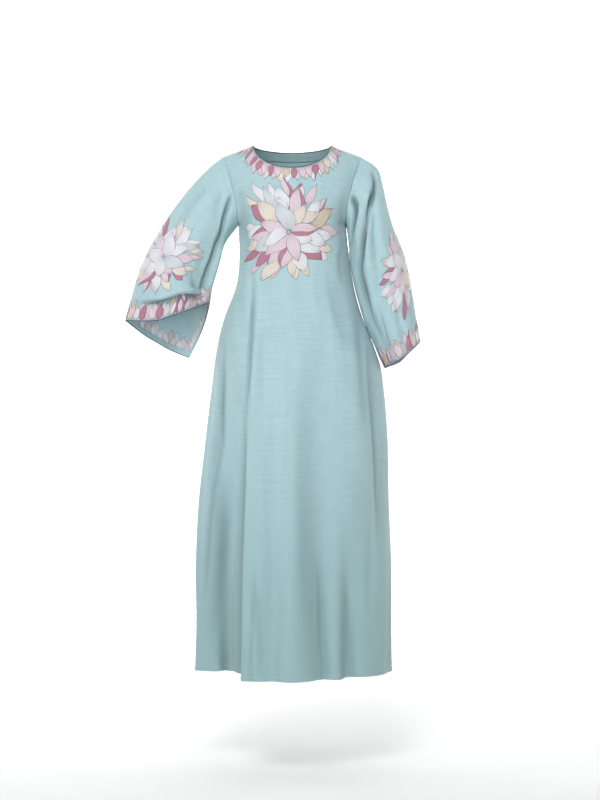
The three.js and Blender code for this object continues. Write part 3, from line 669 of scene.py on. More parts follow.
def panel_cloth(side):
    shares = with_steps(np.linspace(0, 1, PANEL_COLUMNS + 1), PANEL_RUN, SEAM_STEPS, SEAM_STEPS)
    skirt_shares = with_steps(np.linspace(0, 1, SKIRT_ROWS + 1)[:-1], UNDERARM_Z - HEM_Z, EDGE_STEPS)
    heights = lerp(HEM_Z, UNDERARM_Z, skirt_shares)
    ups = np.linspace(0, 1, YOKE_ROWS + 1)
    share, z = np.meshgrid(shares, heights, indexing="ij")
    skirt = SKIRTS[side](share, z)
    share, up = np.meshgrid(shares, ups, indexing="ij")
    grid = np.concatenate([skirt, yoke(side, share, up)], axis=1)
    cloth = Cloth(grid, False, 1 if side == "front" else -1)
    x, z = grid[..., 0], grid[..., 2]
    from_seam = np.minimum(cloth.across - cloth.across[:1], cloth.across[-1:] - cloth.across)
    inside = smooth(0.0, CREASE_FREE, from_seam)
    shift = crease_field(x, z, PANEL_CREASES[side]) * inside
    # painted shade: the creases, and on the back the long folds' hollows, are darkened by their depth
    hollow = shift + LONG_FOLD_PAINTED_SHADE[side] * fold_shift(LONG_FOLDS[side], x, z) * inside
    cloth.fold = np.clip(-hollow / FULL_PAINTED_SHADE_DEPTH, 0, 1)
    cloth.move_out(shift + hem_shape(cloth) + seam_dip(from_seam, cloth.along))
    # the cloth turns darker towards the hem
    cloth.sheer = 1 - smooth(*HEM_TONE_HEIGHTS, cloth.along)
    return cloth


def puckers(relief, run, away):
    """Small waves along a row of stitches, which die out away from it."""
    return relief.pucker * np.sin(run * 2 * np.pi / relief.pitch) * np.exp(-((away / PUCKER_REACH) ** 2))


def seam_dip(away, along):
    """Cloth sinks into a seam, and puckers a little beside it."""
    pucker = puckers(SEAM_RELIEF, along, away) * smooth(0, SEAM_RELIEF.width, away)
    return pucker - SEAM_RELIEF.dip * np.exp(-((away / SEAM_RELIEF.width) ** 2))


def hem_shape(cloth):
    """The turned hem: a slightly thicker band, held down along its row of stitches."""
    hem = bpy.context.scene.kaftan_cloth.hem
    up = cloth.along
    band = HEM_RELIEF * (1 - smooth(hem - HEM_EDGE[0], hem + HEM_EDGE[1], up))
    dip = STITCH_RELIEF.dip * np.exp(-(((up - hem) / STITCH_RELIEF.width) ** 2))
    return band - dip + puckers(STITCH_RELIEF, cloth.across, up - hem)


def sleeve_cloth(sleeve):
    around = np.linspace(0, 1, SLEEVE_COLUMNS + 1)[:-1]
    along = with_steps(np.linspace(0, 1, SLEEVE_ROWS + 1), SLEEVE_LONG, SEAM_STEPS, EDGE_STEPS)
    around, along = np.meshgrid(around, along, indexing="ij")
    cloth = Cloth(sleeve_surface(sleeve, around, along), True, sleeve.side)
    size = (SLEEVE_ROUND, SLEEVE_LONG)
    lines = [crease._replace(line=crease.line * size) for crease in sleeve.creases]
    shift = crease_field(around * SLEEVE_ROUND, along * SLEEVE_LONG, lines, wraps=SLEEVE_ROUND)
    shift = shift * smooth(0, SLEEVE_CREASE_FREE, along)
    # painted shade in the sleeve's creases, by their depth
    cloth.fold = np.clip(-shift / FULL_PAINTED_SHADE_DEPTH, 0, 1)
    cloth.move_out(shift + seam_dip(cloth.along[:-1], cloth.across[:-1]))
    return cloth


class Chart:
    """Finds the cloth at metres from a start: along one line of the grid, then square to that line."""

    def __init__(self, grid, normals, line, start, standing, mirrored):
        self.grid, self.normals = grid, normals
        self.standing, self.mirrored = standing, mirrored
        spine = walked(grid[line][None], 1)[0]
        self.spine = spine - spine[start]
        ribs = walked(grid, 0)
        self.ribs = ribs - ribs[line]

    def locate(self, first, second):
        b = np.interp(first, self.spine, np.arange(len(self.spine)))
        low = np.minimum(b.astype(int), len(self.spine) - 2)
        a = np.empty_like(b)
        lines = np.arange(self.ribs.shape[0])
        for k, share in enumerate(b - low):
            rib = lerp(self.ribs[:, low[k]], self.ribs[:, low[k] + 1], share)
            a[k] = np.interp(second[k], rib, lines)
        return a, b

    def place(self, s, t, height):
        """Points at a height over the cloth, s metres across and t metres along."""
        a, b = self.locate(*((t, s) if self.standing else (s, t)))
        a0 = np.minimum(a.astype(int), self.grid.shape[0] - 2)
        b0 = np.minimum(b.astype(int), self.grid.shape[1] - 2)
        a, b = (a - a0)[:, None], (b - b0)[:, None]

        def between(values):
            low = values[a0, b0] * (1 - a) + values[a0 + 1, b0] * a
            high = values[a0, b0 + 1] * (1 - a) + values[a0 + 1, b0 + 1] * a
            return low * (1 - b) + high * b

        return between(self.grid) + unit(between(self.normals)) * height[:, None]


def flower_chart(cloth, place):
    """A chart round the cloth's point nearest to a place: up its column, then across."""
    distance = np.linalg.norm(cloth.grid - np.array(place), axis=-1)
    column, row = np.unravel_index(distance.argmin(), distance.shape)
    grid, normals, line = cloth.grid, cloth.normals, column
    if cloth.closed:
        line = len(grid) // 2
        grid, normals = (np.roll(part, line - column, axis=0) for part in (grid, normals))
    return Chart(grid, normals, line, row, True, cloth.flip < 0)


def edge_chart(cloth, row, first=0, last=None):
    """A chart on an edge: along it from its first column, then into the cloth."""
    grid, normals = cloth.grid, cloth.normals
    if cloth.closed:
        grid, normals = (np.concatenate([part, part[:WRAP]]) for part in (grid, normals))
    grid, normals = grid.transpose(1, 0, 2), normals.transpose(1, 0, 2)
    if row:
        grid, normals = grid[::-1], normals[::-1]
    chart = Chart(grid, normals, 0, first, False, (cloth.flip < 0) != (row != 0))
    end = len(cloth.grid) if cloth.closed else last
    chart.run = chart.spine[end]
    return chart


# ---- finishes ----

# How many times a metre each grain varies, across and along the piece.
WEFT, WARP, CLOUD, STREAK, BAND = (32, 560), (520, 22), (7, 5), (10, 400), (34, 1.5)
STITCH_SWAY, FLECK, WEAR = (70, 25), (900, 160), (260, 60)
STRAND_PITCH = 0.0009  # from one thread of satin stitch to the next
TWILL_PITCH = (0.0011, 0.0016)
PAINTED_CREASE_SHADE_STRENGTH = 0.68  # how much of the painted shade's darker tone shows in the deepest creases
PAINTED_CREASE_SHADE_TONE = 0.36  # the painted shade's tone, as a share of the cloth's colour at the hem
PIPING_HOLLOWS = 0.55  # tone between the piping's threads, as a share of its own
VEIN_SHARE, INSIDE_VEIN_SHARE = 0.62, 0.9  # how strongly a petal's veins show outside and inside
OUTLINE_SHARE = 0.92
VEIN_WIDTH = (0.0001, 0.0006)  # metres from a vein's middle between which it fades
SEAM_WIDTH = (0.0002, 0.0009)  # the same for the line where a petal's two threads meet
RIM_WIDTH = (0.0004, 0.0013)  # the same for a petal's outline, from its rim


def shade(red, green, blue):
    """A linear colour from the 0 to 255 values of a shade card."""
    values = (channel / 255 for channel in (red, green, blue))
    return tuple(v / 12.92 if v <= 0.04045 else ((v + 0.055) / 1.055) ** 2.4 for v in values)


class Value:
    """A number that varies over a surface. Python's operators on it add Math nodes."""

    def __init__(self, finish, socket):
        self.finish, self.socket = finish, socket

    def maths(self, operation, *others):
        inputs = dict(enumerate((self, *others)))
        return self.finish.value("ShaderNodeMath", {"operation": operation}, inputs)

    def __add__(self, other):
        return self.maths("ADD", other)

    def __sub__(self, other):
        return self.maths("SUBTRACT", other)

    def __rsub__(self, other):
        return self.finish.value("ShaderNodeMath", {"operation": "SUBTRACT"}, {0: other, 1: self})

    def __mul__(self, other):
        return self.maths("MULTIPLY", other)

    def __truediv__(self, other):
        return self.maths("DIVIDE", other)

    __radd__ = __add__
    __rmul__ = __mul__

    def rise(self, start, end):
        """0 before the start, 1 after the end, and smooth between."""
        inputs = {"Value": self, "From Min": start, "From Max": end}
        return self.finish.value("ShaderNodeMapRange", {"interpolation_type": "SMOOTHSTEP"}, inputs)


class Finish:
    """A material under construction."""

    def __init__(self, name, **constants):
        self.material = bpy.data.materials.new(name)
        self.material.use_nodes = True
        self.tree = self.material.node_tree
        self.surface = self.tree.nodes["Principled BSDF"]
        for label, value in constants.items():
            self.surface.inputs[label.replace("_", " ")].default_value = value

    def node(self, kind, settings, inputs):
        """Any node: its type, its settings and the values or links of its sockets."""
        node = self.tree.nodes.new(kind)
        for name, setting in settings.items():
            setattr(node, name, setting)
        for key, value in inputs.items():
            if isinstance(value, Value):
                value = value.socket
            if isinstance(value, bpy.types.NodeSocket):
                self.tree.links.new(value, node.inputs[key])
            else:
                node.inputs[key].default_value = value
        return node

    def value(self, kind, settings, inputs, output=0):
        return Value(self, self.node(kind, settings, inputs).outputs[output])

    def attribute(self, name, output="Fac"):
        return self.value("ShaderNodeAttribute", {"attribute_name": name}, {}, output)

    def stretched(self, across, along):
        """A piece's own coordinates, in so many units a metre across and along."""
        coordinates = self.node("ShaderNodeUVMap", {"uv_map": "cloth"}, {}).outputs[0]
        inputs = {0: coordinates, 1: (across, along, 1)}
        return self.node("ShaderNodeVectorMath", {"operation": "MULTIPLY"}, inputs).outputs[0]

    def noise(self, vector, detail=2.0, roughness=0.5):
        inputs = {"Vector": vector, "Scale": 1.0, "Detail": detail, "Roughness": roughness}
        return self.value("ShaderNodeTexNoise", {}, inputs)

    def grain(self, scale, detail=2.0, roughness=0.5):
        return self.noise(self.stretched(*scale), detail, roughness)

    def threads(self, across, along, distortion=0.0):
        """Threads at a pitch in metres across and along the piece's own coordinates."""
        wave = 2 * math.pi / 20  # length of one wave of the bands
        vector = self.stretched(across and wave / across, along and wave / along)
        way = "DIAGONAL" if across and along else "X" if across else "Y"
        inputs = {"Vector": vector, "Scale": 1.0, "Distortion": distortion}
        return self.value("ShaderNodeTexWave", {"wave_type": "BANDS", "bands_direction": way}, inputs)

    def blend(self, share, first, second):
        inputs = {0: share, 6: colour(first), 7: colour(second)}
        return self.value("ShaderNodeMix", {"data_type": "RGBA"}, inputs, 2)

    def finish(self, paint, roughness, height, depth):
        """Joins the varying colour, roughness and relief to the surface."""
        bump = self.node("ShaderNodeBump", {}, {"Height": height, "Distance": depth, "Strength": 1.0})
        self.tree.links.new(paint.socket, self.surface.inputs["Base Color"])
        self.tree.links.new(roughness.socket, self.surface.inputs["Roughness"])
        self.tree.links.new(bump.outputs[0], self.surface.inputs["Normal"])
        return self.material


def darker(paint, share):
    return tuple(channel * share for channel in paint)


def colour(value):
    return (*value, 1.0) if isinstance(value, tuple) else value


def woven_finish(name, paint, dark, sheer, slub, pitch):
    """Plain weave with slubs: fine threads both ways, with long thick and thin places in them."""
    finish = Finish(name, Sheen_Weight=0.2, Sheen_Roughness=0.5, Specular_IOR_Level=0.3)
    weft, warp = finish.grain(WEFT, 3, 0.6), finish.grain(WARP, 3, 0.6)
    cloud, streak, band = finish.grain(CLOUD), finish.grain(STREAK, 2, 0.6), finish.grain(BAND)
    slubs = (weft - 0.5) * 0.9 + (warp - 0.5) * 0.6 + (streak - 0.5) * 0.9
    tone = (0.5 + slubs * slub + (cloud - 0.5) * 0.2 + (band - 0.5) * 0.45).rise(0.0, 1.0)
    mixed = finish.blend(tone, dark, paint)
    # the cloth is darker towards the hem
    mixed = finish.blend(finish.attribute("sheer"), mixed, sheer)
    # painted shade: the cloth darkens towards a deep tone in its creases
    mixed = finish.blend(finish.attribute("fold") * PAINTED_CREASE_SHADE_STRENGTH, mixed, darker(sheer, PAINTED_CREASE_SHADE_TONE))
    rough = 0.68 + (weft - 0.5) * 0.2
    weave = finish.threads(pitch, 0) + finish.threads(0, pitch)
    return finish.finish(mixed, rough, slubs * 0.6 + weave * 0.2, 0.0002)


def thread_finish(name, outline, vein_share):
    """Satin stitch: threads along each petal, dark veins between them and a dark outline."""
    finish = Finish(name, Sheen_Weight=0.3, Sheen_Roughness=0.4, Specular_IOR_Level=0.4)
    rim, half = finish.attribute("rim"), finish.attribute("half")
    across, along = finish.attribute("across"), finish.attribute("along")
    lined = finish.attribute("lined")
    wave = (finish.grain(STITCH_SWAY) - 0.5) * 0.3
    to_lining = across + wave - (0.1 + along * 0.5)
    paint = finish.blend(
        to_lining.rise(-0.04, 0.04) * lined,
        finish.attribute("thread", "Color"),
        finish.attribute("lining", "Color"),
    )
    veins = finish.attribute("veins")
    to_vein = (((across + wave) * veins).maths("FRACT") - 0.5).maths("ABSOLUTE") / veins * half
    vein = (1 - to_vein.rise(*VEIN_WIDTH)) * rim.rise(0.0010, 0.0024)
    seam = (1 - (to_lining.maths("ABSOLUTE") * half).rise(*SEAM_WIDTH)) * lined
    edge = (1 - rim.rise(*RIM_WIDTH)).maths("MAXIMUM", seam)
    fleck = finish.grain(FLECK)
    shaded = (1 - along.rise(0.0, 0.6)) * 0.10 + (fleck - 0.45) * 0.30 + vein * vein_share
    paint = finish.blend(shaded.maths("MAXIMUM", edge * OUTLINE_SHARE), paint, outline)
    rough = 0.45 + edge * 0.25 + (fleck - 0.5) * 0.2
    silk = finish.threads(STRAND_PITCH, 0, 0.6)
    height = silk * 0.25 + fleck * 0.5 - vein * 0.8 - edge * 0.6
    return finish.finish(paint, rough, height, 0.0003)


def piping_finish(name, paint, dark):
    """A bias strip of fine twill over a cord."""
    finish = Finish(name, Sheen_Weight=0.2, Specular_IOR_Level=0.3)
    twill = finish.threads(*TWILL_PITCH, 0.4)
    worn = finish.grain(WEAR, 3)
    mixed = finish.blend((twill * 0.35 + worn * 0.75).rise(0.1, 0.9), dark, paint)
    return finish.finish(mixed, 0.72 + worn * 0.12, twill * 0.6 + worn * 0.5, 0.0003)


def stage_finish(name, paint):
    finish = Finish(name, Specular_IOR_Level=0.1)
    place = finish.node("ShaderNodeTexCoord", {}, {}).outputs["Object"]
    speckle = finish.noise(place, 3)
    mixed = finish.blend(speckle.rise(0.3, 0.7), tuple(0.985 * c for c in paint), paint)
    return finish.finish(mixed, 0.85 + speckle * 0.1, speckle, 0.0001)


# ---- from points to objects ----


def deselect_all():
    for thing in bpy.context.selected_objects:
        thing.select_set(False)


def mesh_object(name, verts, faces, corner_uv, materials, face_material=None, values=None):
    """A smooth mesh object with its own UV map called cloth and its point values."""
    mesh = bpy.data.meshes.new(name)
    mesh.from_pydata(np.asarray(verts).tolist(), [], np.asarray(faces).tolist())
    layer = mesh.uv_layers.new(name="cloth")
    layer.data.foreach_set("uv", np.asarray(corner_uv, np.float32).ravel())
    for material in materials:
        mesh.materials.append(material)
    if face_material is not None:
        mesh.polygons.foreach_set("material_index", np.asarray(face_material, np.int32))
    for label, value in (values or {}).items():
        coloured = value.ndim == 2
        kind = "FLOAT_COLOR" if coloured else "FLOAT"
        attribute = mesh.attributes.new(label, kind, "POINT")
        attribute.data.foreach_set("color" if coloured else "value", value.astype(np.float32).ravel())
    mesh.polygons.foreach_set("use_smooth", np.ones(len(faces), bool))
    mesh.update()
    thing = bpy.data.objects.new(name, mesh)
    bpy.context.scene.collection.objects.link(thing)
    return thing


def shell(name, cloth, thickness, materials, lift=0.0):
    """The cloth as a thin closed wall: outer face, inner face and rims, with metres as its UV map."""
    # the cloth's darkening towards the hem and the painted shade in its creases go on both faces
    values = {key: np.concatenate([getattr(cloth, key).ravel()] * 2) for key in ("sheer", "fold")}
    outer = cloth.grid + cloth.normals * (lift + thickness / 2)
    inner = cloth.grid + cloth.normals * (lift - thickness / 2)
    columns, rows = cloth.grid.shape[:2]
    u, v = cloth.across, cloth.along
    total = u.shape[0]
    number = cloth.ring(np.arange(columns * rows).reshape(columns, rows))

    def cells(i0, j0, i1, j1, layer):
        return [layer[k] * columns * rows + number[i, j] for k, (i, j) in enumerate((i0, j0, i1, j1))]

    i, j = np.meshgrid(np.arange(total - 1), np.arange(rows - 1), indexing="ij")
    i, j = i.ravel(), j.ravel()
    around = [(i, j), (i + 1, j), (i + 1, j + 1), (i, j + 1)]
    face_sets = [
        (np.stack(cells(*around, (0, 0, 0, 0)), 1), around, 0),
        (np.stack(cells(*around[::-1], (1, 1, 1, 1)), 1), around[::-1], 1),
    ]

    def rim(start, end, turned):
        loop, layer = [start, start, end, end], (0, 1, 1, 0)
        if turned:
            loop, layer = loop[::-1], layer[::-1]
        face_sets.append((np.stack(cells(*loop, layer), 1), loop, 0))

    k = np.arange(total - 1)
    for row, turned in ((0 * k, False), (0 * k + rows - 1, True)):
        rim((k, row), (k + 1, row), turned)
    if not cloth.closed:
        k = np.arange(rows - 1)
        for column, turned in ((0 * k, True), (0 * k + columns - 1, False)):
            rim((column, k), (column, k + 1), turned)
    faces = np.concatenate([faces for faces, _, _ in face_sets])
    uv = np.concatenate([np.stack([np.stack([u[c], v[c]], -1) for c in loop], 1) for _, loop, _ in face_sets])
    side = np.concatenate([np.full(len(faces), material) for faces, _, material in face_sets])
    if cloth.flip < 0:
        faces, uv = faces[:, ::-1], uv[:, ::-1]
    verts = np.concatenate([outer.reshape(-1, 3), inner.reshape(-1, 3)])
    return mesh_object(name, verts, faces, uv, materials, side, values)


def tube(name, centre, first, second, radius, sides, materials):
    """A closed round cord through places that each have two directions square to the cord."""
    turn = 2 * np.pi * np.arange(sides) / sides
    ring = first[:, None] * np.cos(turn)[:, None] + second[:, None] * np.sin(turn)[:, None]
    verts = (centre[:, None] + radius * ring).reshape(-1, 3)
    count = len(centre)
    step = np.linalg.norm(np.roll(centre, -1, axis=0) - centre, axis=1)
    reach = np.concatenate([[0], np.cumsum(step)])
    i, k = (part.ravel() for part in np.meshgrid(np.arange(count), np.arange(sides), indexing="ij"))
    corners = [(i, k), (i + 1, k), (i + 1, k + 1), (i, k + 1)]
    faces = np.stack([(a % count) * sides + b % sides for a, b in corners], 1)
    girth = 2 * np.pi * radius
    uv = np.stack([np.stack([b / sides * girth, reach[a]], -1) for a, b in corners], 1)
    points_in = verts[faces]
    outward = np.cross(points_in[:, 1] - points_in[:, 0], points_in[:, 2] - points_in[:, 0])
    if (outward * (points_in.mean(1) - centre[i])).sum() < 0:
        faces, uv = faces[:, ::-1], uv[:, ::-1]
    return mesh_object(name, verts, faces, uv, materials)


def rim_of(cloth, row, first=0, last=None):
    """Places along an edge, with the ways into the cloth and out of its face."""
    next_row = 1 if row == 0 else -2
    span = slice(first, last)
    edge, inner = cloth.grid[span, row], cloth.grid[span, next_row]
    return edge, unit(inner - edge), cloth.normals[span, row]


# ---- embroidery ----

WHITE = shade(228, 230, 234)
PALE_GREY = shade(206, 214, 218)
BLUSH = shade(221, 205, 213)
ROSE = shade(184, 124, 142)
CREAM = shade(226, 217, 204)
TAN = shade(213, 200, 177)
# The threads that petals take in turn: in a flower's outer rings, in the two rings at its heart, and
# in a border.
THREADS = (WHITE, BLUSH, CREAM, PALE_GREY, WHITE, ROSE, CREAM, BLUSH, WHITE, TAN, WHITE, BLUSH, ROSE, CREAM)
HEART_THREADS = (WHITE, CREAM, WHITE, BLUSH, PALE_GREY, WHITE, BLUSH)
BORDER_THREADS = (
    *(WHITE, ROSE, BLUSH, CREAM, BLUSH, WHITE, ROSE),
    *(TAN, BLUSH, PALE_GREY, ROSE, CREAM, WHITE, BLUSH),
)
# What shows of a thread on the wrong side: paler than on the right side, and painted lighter still, as
# painted light where little light reaches inside the cuffs.
REVERSE_THREAD_PAINTED_LIGHTER = shade(240, 242, 246)
REVERSE_THREADS_PAINTED_LIGHTER = {ROSE: shade(226, 214, 222), TAN: shade(232, 232, 230)}

Petal = namedtuple("Petal", "s t angle length half bend level thread lining")
Ring = namedtuple("Ring", "count start length half")
Flower = namedtuple("Flower", "place seed rings wide tall")
Border = namedtuple("Border", "seed spacing middle ends half fan")
# A flower's rings, the outermost first.
CHEST_RINGS = (
    Ring(19, 0.076, 0.057, 0.0120),
    Ring(14, 0.057, 0.062, 0.0155),
    Ring(10, 0.032, 0.068, 0.0185),
    Ring(8, 0.004, 0.070, 0.0190),
)
SLEEVE_RINGS = (
    Ring(16, 0.050, 0.052, 0.0105),
    Ring(11, 0.030, 0.058, 0.0145),
    Ring(8, 0.003, 0.058, 0.0160),
)
FLOWERS = {
    "front": Flower((-0.006, -0.13, -0.232), 41, CHEST_RINGS, 0.99, 1.02),
    "right": Flower((-0.318, -0.06, -0.285), 52, SLEEVE_RINGS, 0.95, 1.05),
    "left": Flower((0.270, -0.06, -0.320), 63, SLEEVE_RINGS, 0.95, 1.05),
}
# A border's petals: their spacing, their length in its middle and at its ends, their half width, and
# how far they fan out at its ends, in radians.
BORDERS = {
    "right": Border(53, 0.0190, 0.050, 0.050, 0.0092, 0.0),
    "left": Border(64, 0.0190, 0.050, 0.050, 0.0092, 0.0),
    "front": Border(74, 0.0178, 0.038, 0.052, 0.0086, 1.05),
    "back": Border(85, 0.0178, 0.038, 0.052, 0.0086, 1.05),
}
FLOWER_NET, BORDER_NET = (10, 16), (6, 12)  # faces across and along a petal
FAN_REACH = 0.040  # run of an edge's petals that is gathered into the fan at its end
LEVEL = 0.00030  # height of a petal over the one under it
LOWEST = 0.00075  # height of the lowest petals' edges over the middle of the cloth
FOOT = 0.0001  # the same of their undersides, which lie within the cloth
CROWN = 0.00035  # how far the middle of a petal stands over its edges
CROWN_HALF = 0.006  # half width from which a petal has its whole crown
INSIDE_LIFT = 0.00055  # LOWEST and LEVEL on the wrong side, which is flatter
INSIDE_LEVEL = 0.00010
SWAY = 0.09  # how far a petal swings to each side, as a share of its length and bend
VEIN_PITCH = 0.0044


def petal_net(across, along):
    """The net of one petal, a flat closed slab whose places are shares of a petal."""
    deselect_all()
    bpy.ops.mesh.primitive_grid_add(x_subdivisions=across, y_subdivisions=along, size=2)
    slab = bpy.context.object
    wall = slab.modifiers.new("wall", "SOLIDIFY")
    wall.thickness = 0.2
    wall.offset = 0
    bpy.ops.object.modifier_apply(modifier=wall.name)
    return take_mesh(slab)


def take_mesh(thing):
    """The places and faces of a modelled object, which is then removed."""
    mesh = thing.data
    places = np.array([vertex.co for vertex in mesh.vertices])
    faces = np.array([face.vertices for face in mesh.polygons])
    bpy.data.objects.remove(thing)
    bpy.data.meshes.remove(mesh)
    return places, faces


def petal_width(share):
    """A petal's share of its half width: a narrow foot, a full middle and a pointed tip."""
    foot, tip = 0.62, 0.92
    full = foot / (foot + tip)
    share = np.clip(share, 0.004, 0.996)
    return (share / full) ** foot * ((1 - share) / (1 - full)) ** tip


def embroider(name, chart, petals, finish, net, inside=False):
    """Petals of satin stitch on a chart of the cloth, each one a low cushion of thread."""
    places, net_faces = net
    across, along, top = places[:, 0], (places[:, 1] + 1) / 2, places[:, 2] > 0
    ones = np.ones_like(along)
    parts, uvs = [], []
    values = {key: [] for key in ("rim", "half", "across", "along", "veins", "lined", "thread", "lining")}
    for petal in petals:
        heading = petal.angle + petal.bend * (along / 2 - 0.35)
        facing = petal.angle + petal.bend * (along - 0.35)
        half = petal.half * petal_width(along)
        aside = half * across - petal.length * petal.bend * SWAY * np.sin(2 * np.pi * along)
        s = petal.s + petal.length * along * np.sin(heading) + aside * np.cos(facing)
        t = petal.t + petal.length * along * np.cos(heading) - aside * np.sin(facing)
        crown = CROWN * (1 - np.abs(across) ** 2.2) * np.clip(half / CROWN_HALF, 0, 1)
        height = np.where(top, LOWEST + LEVEL * petal.level + crown, FOOT)
        if inside:
            height = -np.where(top, INSIDE_LIFT + INSIDE_LEVEL * petal.level, FOOT)
        parts.append((s, t, height))
        uvs.append(np.stack([half * across + petal.s * 3, petal.length * along + petal.t * 3], -1)[net_faces])
        values["rim"].append((1 - np.abs(across)) * half)
        values["half"].append(half)
        values["across"].append(across)
        values["along"].append(along)
        values["veins"].append(ones * petal.half / VEIN_PITCH)
        values["lined"].append(ones * (petal.lining is not None))
        values["thread"].append(np.outer(ones, (*petal.thread, 1)))
        values["lining"].append(np.outer(ones, (*(petal.lining or petal.thread), 1)))
    s, t, height = (np.concatenate(part) for part in zip(*parts, strict=True))
    faces = np.concatenate([net_faces + k * len(along) for k in range(len(petals))])
    uvs = np.concatenate(uvs)
    if chart.mirrored != inside:
        faces, uvs = faces[:, ::-1], uvs[:, ::-1]
    values = {key: np.concatenate(part) for key, part in values.items()}
    return mesh_object(name, chart.place(s, t, height), faces, uvs, [finish], values=values)


def flower_petals(flower):
    """Petals in rings round a centre, the outermost ring first, each one a little uneven."""
    draw = np.random.RandomState(flower.seed)
    petals = []
    for number, ring in enumerate(flower.rings):
        turn = draw.uniform(0, 2 * np.pi)
        for k in range(ring.count):
            angle = turn + (k + draw.uniform(-0.26, 0.26)) * 2 * np.pi / ring.count
            out = ring.start * draw.uniform(0.85, 1.1)
            reach = math.hypot(flower.wide * math.sin(angle), flower.tall * math.cos(angle))
            heart = number >= len(flower.rings) - 2
            threads = HEART_THREADS if heart else THREADS
            thread = threads[(k * 5 + number * 3 + draw.randint(2)) % len(threads)]
            lining = ROSE if thread == BLUSH and draw.rand() < 0.5 else None
            petals.append(
                Petal(
                    out * math.sin(angle) * flower.wide,
                    out * math.cos(angle) * flower.tall,
                    angle + draw.uniform(-0.15, 0.15),
                    ring.length * draw.uniform(0.8, 1.15) * reach,
                    ring.half * draw.uniform(0.8, 1.2),
                    draw.uniform(-0.7, 0.7),
                    2 * number + k % 2,
                    thread,
                    lining,
                )
            )
    return petals


def border_petals(border, run):
    """Petals that stand on an edge in two overlapping rows, fanned out where the edge ends."""
    draw = np.random.RandomState(border.seed)
    petals = []
    spread = FAN_REACH if border.fan else 0
    for row, share_long in enumerate((1.0, 0.76)):
        count = round((run + 2 * spread) / border.spacing)
        for k in range(count):
            at = (k + 0.25 + 0.5 * row) * (run + 2 * spread) / count - spread
            s = min(max(at + draw.uniform(-0.12, 0.12) * border.spacing, 0), run)
            off_centre = abs(2 * s / run - 1)
            turned = (at - min(max(at, 0), run)) / spread * border.fan if spread else 0
            thread = BORDER_THREADS[(k * 3 + row * 5 + draw.randint(2)) % len(BORDER_THREADS)]
            lining = ROSE if thread in (BLUSH, WHITE) and draw.rand() < 0.25 else None
            petals.append(
                Petal(
                    s,
                    0.0012 + draw.uniform(0, 0.001),
                    turned + draw.uniform(-0.12, 0.12),
                    lerp(border.middle, border.ends, off_centre) * share_long * draw.uniform(0.86, 1.1),
                    border.half * draw.uniform(0.85, 1.15),
                    draw.uniform(-0.45, 0.45),
                    2 * row + k % 2,
                    thread,
                    lining,
                )
            )
    return petals


def wrong_side(petal):
    """The petal as its threads show on the other side of the cloth: paler, and painted lighter still as
    painted light.
    """
    return petal._replace(thread=REVERSE_THREADS_PAINTED_LIGHTER.get(petal.thread, REVERSE_THREAD_PAINTED_LIGHTER), lining=None)


def stitch_row(name, chart, height, finish):
    """A row of small straight stitches, modelled once and set along an edge."""
    deselect_all()
    bpy.ops.mesh.primitive_cube_add(size=1, scale=STITCH_SIZE)
    stitch = bpy.context.object
    bpy.ops.object.transform_apply(location=True, rotation=True, scale=True)
    rounded = stitch.modifiers.new("rounded", "BEVEL")
    rounded.width = STITCH_SIZE[2] * 0.4
    rounded.segments = 1
    bpy.ops.object.modifier_apply(modifier=rounded.name)
    bpy.ops.object.mode_set(mode="EDIT")
    bpy.ops.mesh.select_all(action="SELECT")
    bpy.ops.mesh.quads_convert_to_tris()
    bpy.ops.object.mode_set(mode="OBJECT")
    places, net = take_mesh(stitch)
    at = np.arange(STITCH_MARGIN, chart.run - STITCH_MARGIN, STITCH_PITCH)[:, None]
    s, t = (at + places[:, 0]).ravel(), (height + 0 * at + places[:, 1]).ravel()
    placed = chart.place(s, t, (STITCH_LIFT + 0 * at + places[:, 2]).ravel())
    faces = np.concatenate([net + k * len(places) for k in range(len(at))])
    uvs = np.stack([s, t], -1)[faces]
    if chart.mirrored:
        faces, uvs = faces[:, ::-1], uvs[:, ::-1]
    return mesh_object(name, placed, faces, uvs, [finish])


# ---- properties ----


def length_setting(name, description, default):
    return bpy.props.FloatProperty(name=name, description=description, default=default, unit="LENGTH")


def power_setting(name, description, default):
    return bpy.props.FloatProperty(name=name, description=description, default=default, unit="POWER")


def share_setting(name, description, default, most=1.0):
    return bpy.props.FloatProperty(
        name=name, description=description, default=default, soft_max=most, subtype="FACTOR"
    )


def colour_setting(name, description, *card):
    return bpy.props.FloatVectorProperty(
        name=name, description=description, default=shade(*card), subtype="COLOR"
    )


class KaftanCloth(bpy.types.PropertyGroup):
    thickness: length_setting("Thickness", "Thickness of the woven cloth", 0.0009)
    hem: length_setting("Hem", "Height of the turned hem, up to its row of stitches", 0.013)
    turn_in: length_setting("Cuff turn-in", "Height of the cloth turned in behind each cuff", 0.0115)
    paint: colour_setting("Cloth", "Colour of the thick, light places of the cloth", 180, 208, 213)
    dark: colour_setting("Cloth between slubs", "Colour of the thin, darker places", 152, 186, 193)
    # colour that the cloth turns to, darker towards the hem
    sheer: colour_setting("Sheer cloth", "Colour of the thinner cloth towards the hem", 147, 178, 182)
    # painted light: the inside of the cloth is painted lighter than the outside, since little light reaches
    # into the sleeves and skirt
    inside_share: share_setting("Inside", "How light the inside is, as a share of the outside", 1.2, 1.3)
    slub: share_setting("Slub", "How strongly the slubs of the weave show", 0.9)
    pitch: length_setting("Thread pitch", "Distance from one thread of the weave to the next", 0.0008)


